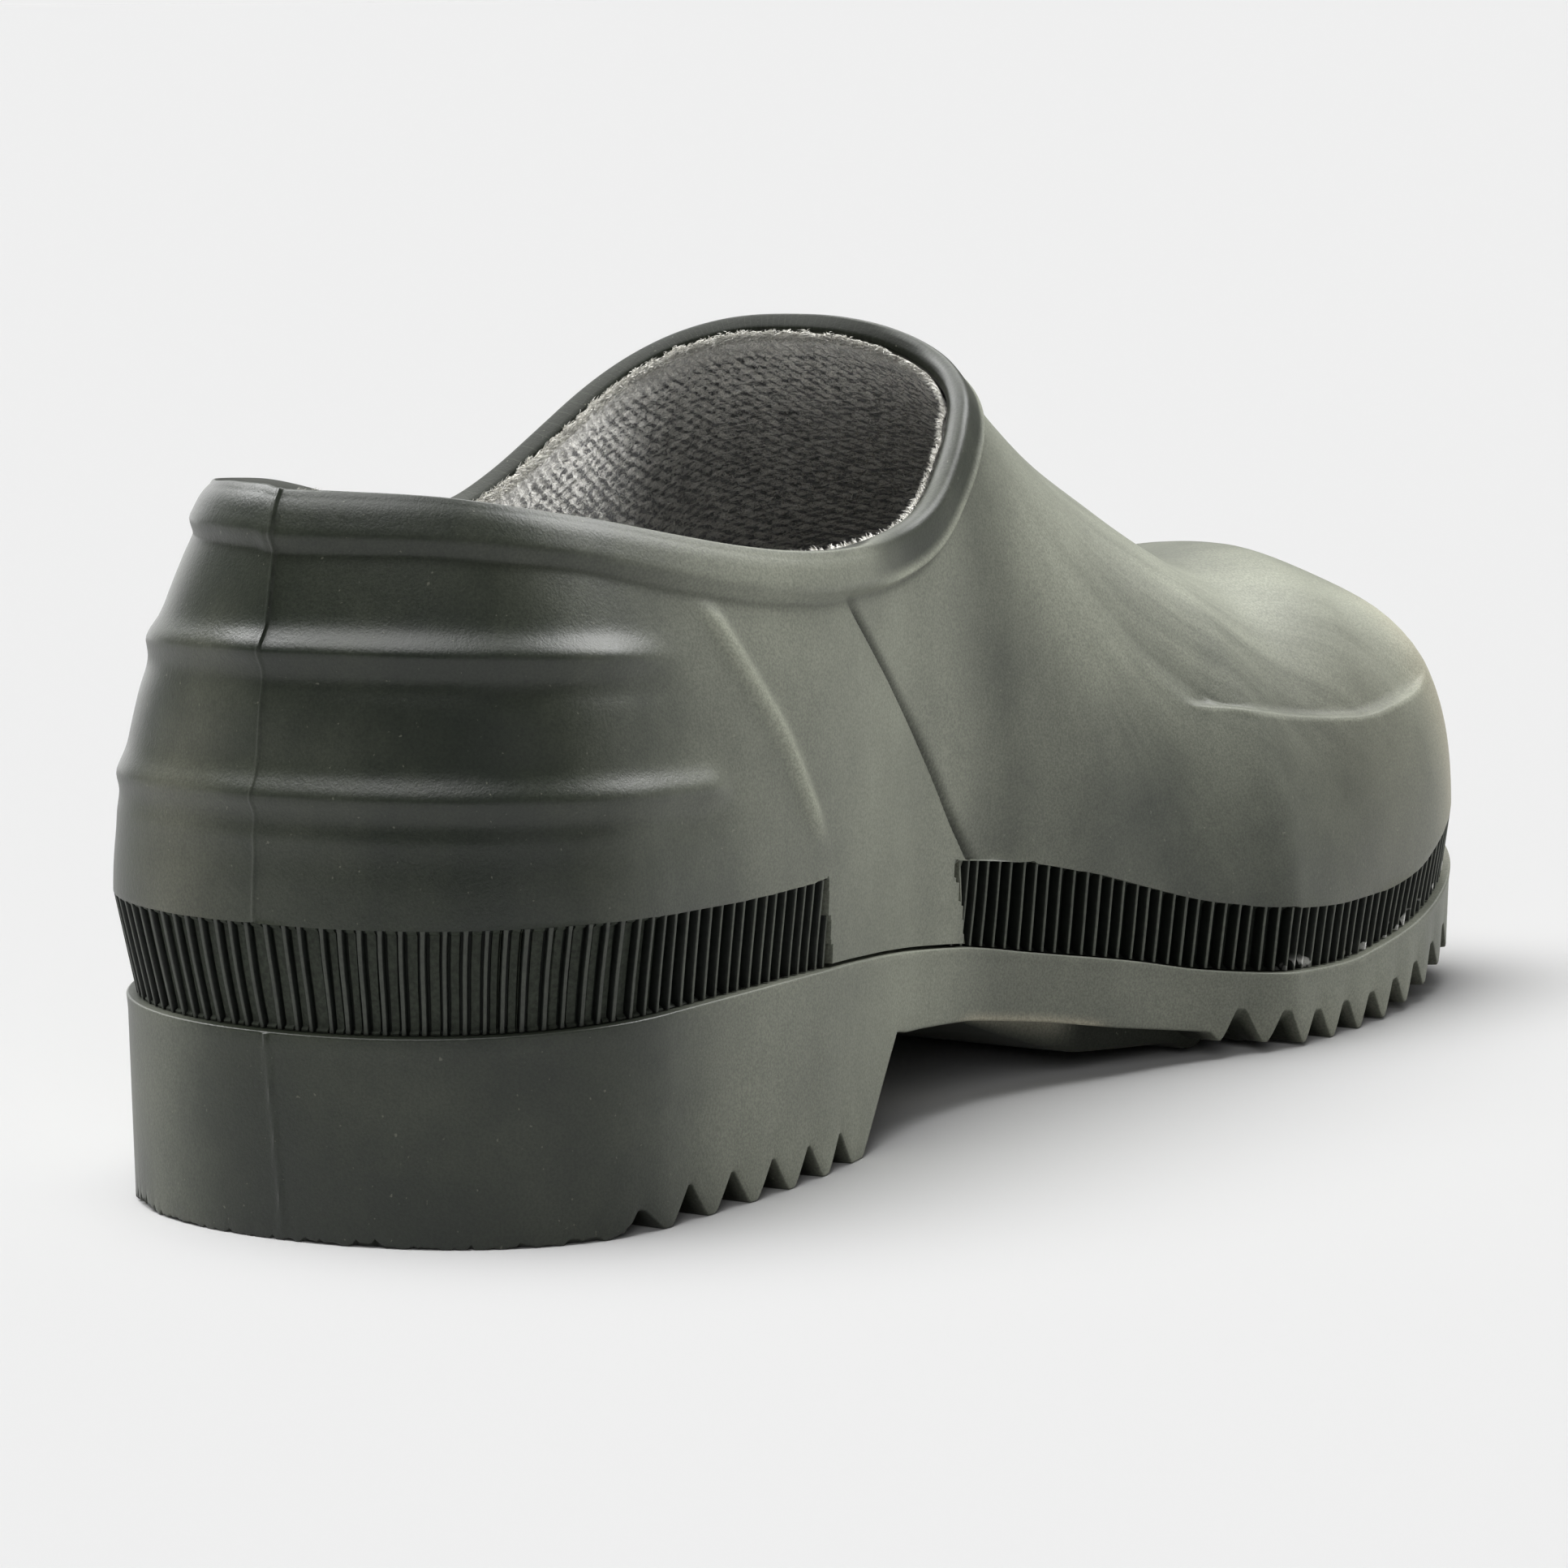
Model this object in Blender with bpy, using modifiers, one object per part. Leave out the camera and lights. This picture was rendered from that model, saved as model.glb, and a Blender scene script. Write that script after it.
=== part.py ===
# Closed-heel moulded work shoe, left foot: outsole, ribbed midsole, hollow upper and insole.
# Frame while drawing: heel back at x = 0, toe along +X, left along +Y, floor at z = 0, millimetres.
# At the end everything is centred over the origin and written in metres.

import bpy
import numpy as np

MM = 0.001
SMOOTH_UP_TO = 32.0

# Plan of the sole at its ledge
OUTLINE_POINTS = 900
END_CROWDING = 0.45
LENGTH = 292.0
HEEL_CAP = 36.0
HEEL_ROUND = 2.16
TOE_TIP_Y = -18.0
TOE_ROUND_RIGHT = 2.47
TOE_ROUND_LEFT = 2.2

# Columns: station from the heel, half-width from the heel's centre line
RIGHT_EDGE = [
    (36, 44.1), (55, 44.0), (75, 42.5), (90, 39.7), (105, 36.0), (120, 32.6),
    (135, 31.4), (150, 33.6), (165, 37.3), (180, 40.7), (195, 45.6), (206, 49.1)]
LEFT_EDGE = [
    (36, 44.1), (55, 43.9), (75, 43.0), (90, 41.8), (105, 40.5), (120, 39.7),
    (135, 40.5), (150, 43.6), (165, 48.0), (175, 50.7), (186, 52.0)]

# Columns: station, height of the ledge, height of the upper's lower edge
SIDE_LEVELS = [
    (0, 29.4, 44.9), (18, 30.1, 45.0), (40, 30.6, 44.5), (60, 30.7, 44.0), (80, 30.3, 43.9),
    (98, 29.1, 42.8), (120, 26.8, 40.7), (134, 25.1, 39.0), (150, 22.2, 36.6), (170, 18.6, 31.4),
    (189, 14.7, 26.1), (205, 12.7, 23.5), (223, 12.0, 22.2), (236, 12.9, 22.2), (250, 14.4, 23.4),
    (264, 16.9, 27.0), (278, 20.5, 31.6), (292, 25.0, 37.0)]

# Columns: station, height of the tread's lowest line (heel, slanted breast, arch, rocker, toe spring)
TREAD = [
    (0, 0.0), (91.5, 0.0), (107.5, 16.6), (112, 15.9), (125, 15.0), (135, 14.3), (152, 11.6),
    (168, 8.2), (188, 4.8), (189.5, 3.2), (197, 2.1), (205, 1.0), (213, 0.0), (232, 0.0),
    (238, 0.4), (246, 1.3), (255, 2.7), (264, 4.6), (278, 7.0), (292, 10.5)]

# Outsole: teeth, inset of the tread's inner ring, ledge rounding
ARCH_X = 120.0
NOTCH_HEEL = 5.4
NOTCH_FORE = 5.0
NOTCH_SHARE = 0.5
GROOVE_FADE_FROM = 248.0
GROOVE_FADE_TO = 262.0
TREAD_INSET = 12.0
FOOT_TAPER = 0.5
LEDGE_ROUND = 0.8

# Columns: from station, to station, number of columns or teeth, notched
OUTSOLE_RUNS = [
    (0.0, 24.0, 7, False), (24.0, 88.0, 6, True), (88.0, 91.5, 1, False), (91.5, 107.5, 2, False),
    (107.5, 188.0, 9, False), (188.0, 189.5, 1, False), (189.5, 292.0, 12, True)]

# Midsole: ribbed band and smooth waist pads
GAP = 0.3
PAD_FROM = 78.5
PAD_TO = 130.5
HEEL_RIBS = 38
FORE_RIBS = 64
BAND_INSET = 3.0
RIB_INSET = 1.0
PAD_COLUMNS = 10
PAD_MARGIN = 0.25
CAP_INSET = 6.0
CAP_COLUMNS = 44

# One rib. Columns: share of the pitch, inset from the ledge's edge
RIB_PROFILE = [(0.05, BAND_INSET), (0.45, BAND_INSET), (0.55, RIB_INSET), (0.95, RIB_INSET)]

# Upper: overhang past the ledge, wall, collar and dome
OVER_BACK = 2.2
OVER_SIDE = 0.7
OVER_POWER = 0.3
WALL = 3.0
COLLAR_X = 85.0
COLLAR_Y = 2.0
BEAD_TALL = 7.0
BEAD_OUT = 1.3
BEAD_CROWN = 1.3
HEEL_DOME = 63.5
HEEL_DOME_ROUND = 2.22
TOE_DOME = 220.5
TOE_DOME_ROUND = 2.65
UPPER_COLUMNS = 104
PATH_POINTS = 420
PATH_CROWDING = 3
PATH_END = 0.98

# Levels of the upper's wall: shares of the way up to the facet's edge, and from there to the bead
SHARES_TO_FACET = (0.28, 0.55, 0.80)
SHARES_TO_BEAD = (0.13, 0.30, 0.52, 0.76)
LEAST_LEVEL = 0.4
INNER_LEVELS = [0, 1, 4, 6, 8, 10, 13]
# Columns: share of the bead's height below its top, share of its fullness
BEAD_LEVELS = [(1.0, 0.0), (0.72, 0.9), (0.32, 1.0), (0.0, 0.2)]
# Bearings off straight ahead between which the heel's levels take over from the front's
FRONT_FULL = 24.0
FRONT_END = 50.0

# Columns: station, height of the crest (above the collar it is only the form that the collar cuts)
CREST_HEIGHT = [
    (0, 153.0), (40, 133.5), (90, 149.0), (125, 157.5), (146, 135.2), (160, 119.5), (174, 106.8),
    (190, 95.0), (207, 83.8), (225, 77.4), (250, 79.5), (275, 79.5), (292, 73.5)]
# Columns: station, sideways place of the crest
CREST_PLACE = [(0, 0.0), (60, 0.0), (120, 2.3), (150, 3.3), (190, -2.5), (250, -9.8), (292, -18.0)]
# Columns: station, fullness across, fullness upward
FULLNESS = [
    (0, 1.40, 1.70), (60, 1.75, 1.93), (130, 2.25, 2.35), (190, 1.95, 1.90), (240, 2.15, 2.08),
    (292, 2.40, 2.35)]
# Columns: bearing from the heel round the right side, in degrees, height of the collar's top edge
COLLAR_LINE = [
    (0, 104.8), (25, 101.0), (50, 94.2), (80, 91.0), (110, 89.8), (135, 92.7), (150, 102.4),
    (165, 111.2), (180, 119.2), (195, 120.6), (210, 114.3), (230, 99.9), (260, 92.1), (300, 96.5),
    (335, 102.3), (360, 104.8)]

# Heel ridges. Columns: height at the heel's back, fall per station, station where it ends, how proud
HEEL_RIDGES = [(63.0, 0.072, 56.0, 1.2), (82.4, 0.060, 39.0, 1.1)]
RIDGE_LEVELS = [3, 7]
RIDGE_HALF = 2.2
RIDGE_FADE = 16.0

# Toe facet: a shallow flat on the toe's top, with a crisp lower edge
FACET_DEPTH = 1.0
FACET_STEP = 1.4
FACET_FROM = 182.0
FACET_FULL = 196.0
FACET_FOLD = 4
# Columns: level, share of the facet's depth
FACET_HOLLOW = [(5, 1.0), (6, 0.8), (7, 0.35)]
# Columns: station, height of the facet's edge
FACET_EDGE = [
    (170, 62.0), (188, 56.0), (210, 53.0), (235, 50.3), (255, 48.8), (275, 50.0), (287, 55.0),
    (294, 59.0)]

# Insole
INSOLE_INSET = 5.0
INSOLE_THICK = 3.0
INSOLE_COLUMNS = 44
INSOLE_LIFT = 0.15


def column(table, index):
    return [row[index] for row in table]


def smooth(xs, ys, flat=False):
    # Monotone cubic through the points of a table
    xs = np.asarray(xs, float)
    ys = np.asarray(ys, float)
    h = np.diff(xs)
    d = np.diff(ys) / h
    m = np.zeros(len(xs))
    w1 = 2 * h[1:] + h[:-1]
    w2 = h[1:] + 2 * h[:-1]
    same = d[:-1] * d[1:] > 0
    safe0 = np.where(same, d[:-1], 1.0)
    safe1 = np.where(same, d[1:], 1.0)
    m[1:-1] = np.where(same, (w1 + w2) / (w1 / safe0 + w2 / safe1), 0.0)
    m[0] = 0.0 if flat else d[0]
    m[-1] = 0.0 if flat else d[-1]

    def value(x):
        x = np.clip(np.asarray(x, float), xs[0], xs[-1])
        i = np.clip(np.searchsorted(xs, x, side="right") - 1, 0, len(h) - 1)
        t = (x - xs[i]) / h[i]
        a = (1 + 2 * t) * (1 - t) ** 2 * ys[i] + t * (1 - t) ** 2 * h[i] * m[i]
        b = t * t * (3 - 2 * t) * ys[i + 1] + t * t * (t - 1) * h[i] * m[i + 1]
        return a + b
    return value


def ease(t):
    t = np.clip(t, 0.0, 1.0)
    return t * t * (3 - 2 * t)


def rounded(u, power):
    # Height of a superellipse's quarter at u, 1 at its middle and 0 at its end
    return np.clip(1 - np.clip(u, 0, 1) ** power, 0, 1) ** (1 / power)


right_width = smooth(column(RIGHT_EDGE, 0), column(RIGHT_EDGE, 1), flat=True)
left_width = smooth(column(LEFT_EDGE, 0), column(LEFT_EDGE, 1), flat=True)
ledge_height = smooth(column(SIDE_LEVELS, 0), column(SIDE_LEVELS, 1))
feather_height = smooth(column(SIDE_LEVELS, 0), column(SIDE_LEVELS, 2))
crest_height = smooth(column(CREST_HEIGHT, 0), column(CREST_HEIGHT, 1))
crest_place = smooth(column(CREST_PLACE, 0), column(CREST_PLACE, 1))
full_across = smooth(column(FULLNESS, 0), column(FULLNESS, 1))
full_up = smooth(column(FULLNESS, 0), column(FULLNESS, 2))
collar_height = smooth(column(COLLAR_LINE, 0), column(COLLAR_LINE, 1))
facet_height = smooth(column(FACET_EDGE, 0), column(FACET_EDGE, 1))


def tread_height(x):
    return np.interp(x, column(TREAD, 0), column(TREAD, 1))


def edge(x, side):
    # Sideways place of the sole's edge: rounded heel, table, rounded toe
    x = np.asarray(x, float)
    table = RIGHT_EDGE if side < 0 else LEFT_EDGE
    width = right_width if side < 0 else left_width
    power = TOE_ROUND_RIGHT if side < 0 else TOE_ROUND_LEFT
    ball = table[-1][0]
    heel = side * table[0][1] * rounded((HEEL_CAP - x) / HEEL_CAP, HEEL_ROUND)
    past_ball = (x - ball) / (LENGTH - ball)
    toe = TOE_TIP_Y + (side * table[-1][1] - TOE_TIP_Y) * rounded(past_ball, power)
    return np.where(x < HEEL_CAP, heel, np.where(x > ball, toe, side * width(x)))


class Outline:
    # Closed plan curve: heel back, along the right side to the toe tip, back along the left side
    def __init__(self, back=0.0, aside=0.0):
        t = (1 - np.cos(np.linspace(0, np.pi, OUTLINE_POINTS))) / 2
        x = t * LENGTH
        more = aside * np.sin(np.pi * t) ** OVER_POWER
        right = np.c_[x, edge(x, -1) - more]
        left = np.c_[x, edge(x, 1) + more]
        p = np.r_[right, left[-2::-1]]
        p[:, 0] = p[:, 0] / LENGTH * (LENGTH + back) - back
        step = np.linalg.norm(np.diff(p, axis=0), axis=1)
        self.s = np.r_[0, np.cumsum(step)]
        self.p = p
        ring = np.r_[p[-2:-1], p, p[1:2]]
        tangent = ring[2:] - ring[:-2]
        tangent /= np.linalg.norm(tangent, axis=1)[:, None]
        self.n = np.c_[tangent[:, 1], -tangent[:, 0]]
        self.toe = self.s[len(x) - 1]
        self.total = self.s[-1]

    def at(self, s, inset=0.0):
        s = np.mod(np.asarray(s, float), self.total)
        p = np.c_[np.interp(s, self.s, self.p[:, 0]), np.interp(s, self.s, self.p[:, 1])]
        n = np.c_[np.interp(s, self.s, self.n[:, 0]), np.interp(s, self.s, self.n[:, 1])]
        n /= np.linalg.norm(n, axis=1)[:, None]
        return p - n * np.broadcast_to(np.asarray(inset, float), s.shape)[:, None]

    def along(self, x, side):
        # Distance along the curve at station x of one side
        half = len(self.p) // 2 + 1
        xs = self.p[:half, 0]
        if side < 0:
            return np.interp(x, xs, self.s[:half])
        return np.interp(x, xs, self.s[half - 1:][::-1])

    def both_sides(self, count):
        # The same stations on each side, closer at the ends: right side to the toe, left side back
        f = np.linspace(0, 1, count + 1)
        f = (1 - END_CROWDING) * f + END_CROWDING * (1 - np.cos(np.pi * f)) / 2
        right = f * self.toe
        x = np.interp(right, self.s, self.p[:, 0])
        left = self.along(x, 1)
        return np.r_[right, left[-2:0:-1]]


def fill_across(faces, ring, count, flip):
    # Fills a closed ring that has equal numbers of points on both sides with strips across
    toe = count
    for k in range(toe):
        r0, r1 = ring[k], ring[k + 1]
        l0, l1 = ring[-k] if k else ring[0], ring[-(k + 1)]
        if k == 0:
            face = [r0, r1, l1]
        elif k + 1 == toe:
            face = [r0, r1, l0]
        else:
            face = [r0, r1, l1, l0]
        faces.append(face[::-1] if flip else face)


def join_rings(faces, low, high, flip=False):
    # Quads between two closed rings of equal count
    n = len(low)
    for k in range(n):
        face = [low[k], low[(k + 1) % n], high[(k + 1) % n], high[k]]
        faces.append(face[::-1] if flip else face)


def zip_rings(faces, outer, outer_s, inner, inner_s, flip=False):
    # Triangles between two closed rings of unlike count, stepping along the nearer end.
    # Where the rings share a point, the triangle that has it twice is left out.
    i = j = 0
    n, m = len(outer), len(inner)
    while i < n or j < m:
        next_i = outer_s[i + 1] if i + 1 < n else 1.0
        next_j = inner_s[j + 1] if j + 1 < m else 1.0
        if j >= m or (i < n and next_i <= next_j):
            face = [outer[i], outer[(i + 1) % n], inner[j % m]]
            i += 1
        else:
            face = [inner[j], outer[i % n], inner[(j + 1) % m]]
            j += 1
        if len(set(face)) == 3:
            faces.append(face[::-1] if flip else face)


class Shape:
    # Points and faces gathered ring by ring
    def __init__(self):
        self.points = []
        self.faces = []

    def ring(self, xyz):
        start = sum(len(p) for p in self.points)
        self.points.append(np.asarray(xyz, float))
        return list(range(start, start + len(xyz)))

    def array(self):
        return np.concatenate(self.points)


def lift(plan, height, extra=0.0):
    return np.c_[plan, height(plan[:, 0]) + extra]


def outsole():
    out = Outline()

    def side(sign):
        rows = []
        for x0, x1, count, notched in OUTSOLE_RUNS:
            s0, s1 = out.along(x0, sign), out.along(x1, sign)
            if notched:
                half = NOTCH_SHARE / 2
                for k in range(count):
                    for part, deep in ((0.5 - half, 0.0), (0.5, 1.0), (0.5 + half, 0.0)):
                        rows.append((s0 + (s1 - s0) * (k + part) / count, deep))
            else:
                for k in range(count):
                    rows.append((s0 + (s1 - s0) * k / count, 0.0))
        return rows

    right = side(-1) + [(out.toe, 0.0)]
    left = side(1)
    rows = right + left[:0:-1]
    s = np.array([row[0] for row in rows])
    deep = np.array([row[1] for row in rows])
    foot = out.at(s, FOOT_TAPER)
    notch = deep * np.where(foot[:, 0] < ARCH_X, NOTCH_HEEL, NOTCH_FORE)
    middle = out.at(s, TREAD_INSET)
    run_through = 1 - ease((middle[:, 0] - GROOVE_FADE_FROM) / (GROOVE_FADE_TO - GROOVE_FADE_FROM))
    shape = Shape()
    inner = shape.ring(np.c_[middle, tread_height(middle[:, 0]) + notch * run_through])
    low = shape.ring(np.c_[foot, tread_height(foot[:, 0]) + notch])
    brim = shape.ring(lift(out.at(s), ledge_height, -LEDGE_ROUND))
    top = shape.ring(lift(out.at(s, LEDGE_ROUND), ledge_height))
    join_rings(shape.faces, inner, low)
    join_rings(shape.faces, low, brim)
    join_rings(shape.faces, brim, top)
    fill_across(shape.faces, top, len(right) - 1, False)
    fill_across(shape.faces, inner, len(right) - 1, True)
    return shape


def midsole():
    out = Outline()

    def side(sign):
        pad0, pad1 = out.along(PAD_FROM, sign), out.along(PAD_TO, sign)
        start = 0.0 if sign < 0 else out.total

        def ribbed(s0, s1, ribs):
            step = (s1 - s0) / ribs
            return [(s0 + step * (k + part), inset) for k in range(ribs) for part, inset in RIB_PROFILE]

        step = (pad1 - pad0) / (PAD_COLUMNS + 2 * PAD_MARGIN)
        pad = [(pad0 + step * (k + PAD_MARGIN), 0.0) for k in range(PAD_COLUMNS + 1)]
        return ribbed(start, pad0, HEEL_RIBS) + pad + ribbed(pad1, out.toe, FORE_RIBS)

    rows = np.array(side(-1) + side(1)[::-1])
    s = rows[:, 0]
    plan = out.at(s, rows[:, 1])
    on_pad = np.flatnonzero(rows[:, 1] == 0.0)
    on_band = np.flatnonzero(rows[:, 1] == BAND_INSET)
    behind_pad = out.at(s[on_pad], BAND_INSET)
    inner_s = out.both_sides(CAP_COLUMNS)
    inner_plan = out.at(inner_s, CAP_INSET)
    shape = Shape()
    walls = []
    for height, gap, flip in ((ledge_height, GAP, True), (feather_height, -GAP, False)):
        edge_ring = shape.ring(lift(plan, height, gap))
        behind = shape.ring(lift(behind_pad, height, gap))
        cap = shape.ring(lift(inner_plan, height, gap))
        known = sorted([(s[k], edge_ring[k]) for k in on_band] + list(zip(s[on_pad], behind)))
        band_s = np.array(column(known, 0)) / out.total
        band = column(known, 1)
        zip_rings(shape.faces, edge_ring, s / out.total, band, band_s, flip)
        zip_rings(shape.faces, band, band_s, cap, inner_s / out.total, flip)
        fill_across(shape.faces, cap, CAP_COLUMNS, flip)
        walls.append(edge_ring)
    join_rings(shape.faces, walls[0], walls[1])
    return shape


def dome_height(x, y):
    # Outer form of the upper over the plan: a superellipse across, under a crest, round at heel and toe
    xs = np.clip((x + OVER_BACK) / (LENGTH + OVER_BACK) * LENGTH, 0, LENGTH)
    more = OVER_SIDE * np.sin(np.pi * xs / LENGTH) ** OVER_POWER
    right = edge(xs, -1) - more
    left = edge(xs, 1) + more
    crest = np.clip(crest_place(xs), right, left)
    toward_right = (crest - y) / np.maximum(crest - right, 1e-6)
    toward_left = (y - crest) / np.maximum(left - crest, 1e-6)
    across = np.clip(np.where(y < crest, toward_right, toward_left), 0, 1)
    ends = rounded((HEEL_DOME - xs) / HEEL_DOME, HEEL_DOME_ROUND)
    ends = ends * rounded((xs - TOE_DOME) / (LENGTH - TOE_DOME), TOE_DOME_ROUND)
    foot = feather_height(xs)
    swell = np.clip(1 - across ** full_across(xs), 0, 1) ** (1 / full_up(xs))
    return foot + (crest_height(xs) - foot) * ends * swell


def dome_paths(plan):
    # For each point of the lower edge: the path up the dome toward the collar, up to the collar line
    bearing = np.mod(np.degrees(np.arctan2(COLLAR_Y - plan[:, 1], COLLAR_X - plan[:, 0])), 360)
    rim = collar_height(bearing)
    g = np.linspace(0, 1, PATH_POINTS) ** PATH_CROWDING * PATH_END
    x = plan[:, :1] + (COLLAR_X - plan[:, :1]) * g
    y = plan[:, 1:] + (COLLAR_Y - plan[:, 1:]) * g
    z = dome_height(x, y)
    paths = []
    for k in range(len(plan)):
        j = int(np.argmax(z[k] >= rim[k]))
        path = np.c_[x[k, :j + 1], y[k, :j + 1], z[k, :j + 1]]
        part = (rim[k] - z[k, j - 1]) / (z[k, j] - z[k, j - 1])
        path[-1] = path[-2] + (path[-1] - path[-2]) * part
        length = np.r_[0, np.cumsum(np.linalg.norm(np.diff(path, axis=0), axis=1))]
        paths.append((path, length))
    return bearing, paths


def on_path(path, length, at):
    return np.c_[[np.interp(at, length, path[:, c]) for c in range(3)]].T


def level_lengths(path, length, front):
    # Where the levels lie on a path: at the ridges for the heel, at the facet's edge for the front
    total = length[-1]
    z = path[:, 2]
    bead = total - BEAD_TALL
    marks = []
    for height, fall, _, _ in HEEL_RIDGES:
        here = np.interp(height - fall * path[0, 0], np.maximum.accumulate(z), length)
        marks.append((here - RIDGE_HALF, here, here + RIDGE_HALF))
    low, high = marks
    heel = np.r_[0, low[0] / 2, low, (low[2] + high[0]) / 2, high, (high[2] + bead) / 2]
    above = z >= facet_height(path[:, 0])
    fold = length[np.argmax(above) if np.any(above) else len(z) // 2]
    past = fold + FACET_STEP
    fore = np.r_[0, fold * np.array(SHARES_TO_FACET), fold, past]
    fore = np.r_[fore, past + (bead - past) * np.array(SHARES_TO_BEAD)]
    if np.any(np.diff(np.r_[heel, bead]) < LEAST_LEVEL):
        heel = np.linspace(0, bead, len(heel) + 1)[:-1]
    body = heel * (1 - front) + fore * front
    return np.r_[body, total - BEAD_TALL * np.array(column(BEAD_LEVELS, 0))]


def upper():
    out = Outline(OVER_BACK, OVER_SIDE)
    half = UPPER_COLUMNS // 2
    f = np.linspace(0, 1, half + 1)
    s = np.r_[f * out.toe, out.total - (out.total - out.toe) * f[-2:0:-1]]
    plan = out.at(s)
    bearing, paths = dome_paths(plan)
    front = 1 - ease((np.abs(bearing - 180) - FRONT_FULL) / (FRONT_END - FRONT_FULL))
    grid = np.array([on_path(p, d, level_lengths(p, d, f)) for (p, d), f in zip(paths, front)])
    around = np.roll(grid, -1, axis=0) - np.roll(grid, 1, axis=0)
    upward = np.gradient(grid, axis=1)
    normal = np.cross(around, upward)
    normal /= np.linalg.norm(normal, axis=2)[:, :, None]
    proud = np.zeros(grid.shape[:2])
    for level, (_, _, end, height) in zip(RIDGE_LEVELS, HEEL_RIDGES):
        proud[:, level] += height * ease((end - grid[:, level, 0]) / RIDGE_FADE) * (1 - front)
    held = front * ease((grid[:, FACET_FOLD, 0] - FACET_FROM) / (FACET_FULL - FACET_FROM))
    for level, share in FACET_HOLLOW:
        proud[:, level] -= FACET_DEPTH * share * held
    proud[:, -len(BEAD_LEVELS):] += BEAD_OUT * np.array(column(BEAD_LEVELS, 1))
    outer = grid + normal * proud[:, :, None]
    inner = grid[:, INNER_LEVELS] - normal[:, INNER_LEVELS] * WALL
    inner[:, 0, 2] = grid[:, 0, 2]
    crown = (outer[:, -1] + inner[:, -1]) / 2
    along = grid[:, -1] - grid[:, -2]
    crown += along / np.linalg.norm(along, axis=1)[:, None] * BEAD_CROWN
    shape = Shape()
    rings = [shape.ring(outer[:, k]) for k in range(outer.shape[1])]
    rings.append(shape.ring(crown))
    rings += [shape.ring(inner[:, k]) for k in range(inner.shape[1] - 1, -1, -1)]
    for low, high in zip(rings, rings[1:] + rings[:1]):
        join_rings(shape.faces, low, high)
    return shape


def insole():
    out = Outline(OVER_BACK, OVER_SIDE)
    s = out.both_sides(INSOLE_COLUMNS)
    plan = out.at(s, INSOLE_INSET)
    shape = Shape()
    low = shape.ring(lift(plan, feather_height, INSOLE_LIFT))
    fill_across(shape.faces, low, INSOLE_COLUMNS, False)
    return shape


# Columns: name, maker, base colour, roughness
PIECES = [
    ("outsole", outsole, (0.060, 0.072, 0.055, 1.0), 0.55),
    ("midsole", midsole, (0.020, 0.026, 0.022, 1.0), 0.50),
    ("upper", upper, (0.070, 0.085, 0.070, 1.0), 0.48),
    ("insole", insole, (0.330, 0.320, 0.300, 1.0), 0.95),
]

for old in list(bpy.data.objects):
    bpy.data.objects.remove(old, do_unlink=True)

shoe = bpy.data.collections.new("work_shoe")
bpy.context.scene.collection.children.link(shoe)

shapes = [(name, maker(), colour, rough) for name, maker, colour, rough in PIECES]
everything = np.concatenate([shape.array() for _, shape, _, _ in shapes])
centre = (everything.min(axis=0) + everything.max(axis=0)) / 2
centre[2] = everything[:, 2].min()

for name, shape, colour, rough in shapes:
    mesh = bpy.data.meshes.new(name)
    mesh.from_pydata(((shape.array() - centre) * MM).tolist(), [], shape.faces)
    mesh.validate()
    mesh.shade_smooth()
    mesh.set_sharp_from_angle(angle=np.radians(SMOOTH_UP_TO))
    mesh.update()
    material = bpy.data.materials.new(name + "_material")
    material.use_nodes = True
    shader = material.node_tree.nodes["Principled BSDF"]
    shader.inputs["Base Color"].default_value = colour
    shader.inputs["Roughness"].default_value = rough
    mesh.materials.append(material)
    piece = bpy.data.objects.new(name, mesh)
    shoe.objects.link(piece)
    if name == "insole":
        thick = piece.modifiers.new("thickness", "SOLIDIFY")
        thick.thickness = INSOLE_THICK * MM
        thick.offset = 1.0
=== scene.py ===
import bpy
import numpy as np
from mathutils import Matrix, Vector


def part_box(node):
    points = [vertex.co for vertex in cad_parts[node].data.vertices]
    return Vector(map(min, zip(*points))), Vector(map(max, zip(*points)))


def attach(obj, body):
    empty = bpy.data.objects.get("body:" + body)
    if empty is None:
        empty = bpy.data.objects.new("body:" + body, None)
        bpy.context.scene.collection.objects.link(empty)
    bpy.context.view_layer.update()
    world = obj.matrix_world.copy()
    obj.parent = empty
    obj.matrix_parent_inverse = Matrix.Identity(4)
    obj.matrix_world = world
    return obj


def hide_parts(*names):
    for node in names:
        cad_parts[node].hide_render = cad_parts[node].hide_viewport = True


# Moulded work clog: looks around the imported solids. Shapes are worked out in millimetres on the shoe's
# own last (heel back at x = 0, toe along +X, left along +Y, floor at z = 0) and put in place in metres.

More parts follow.
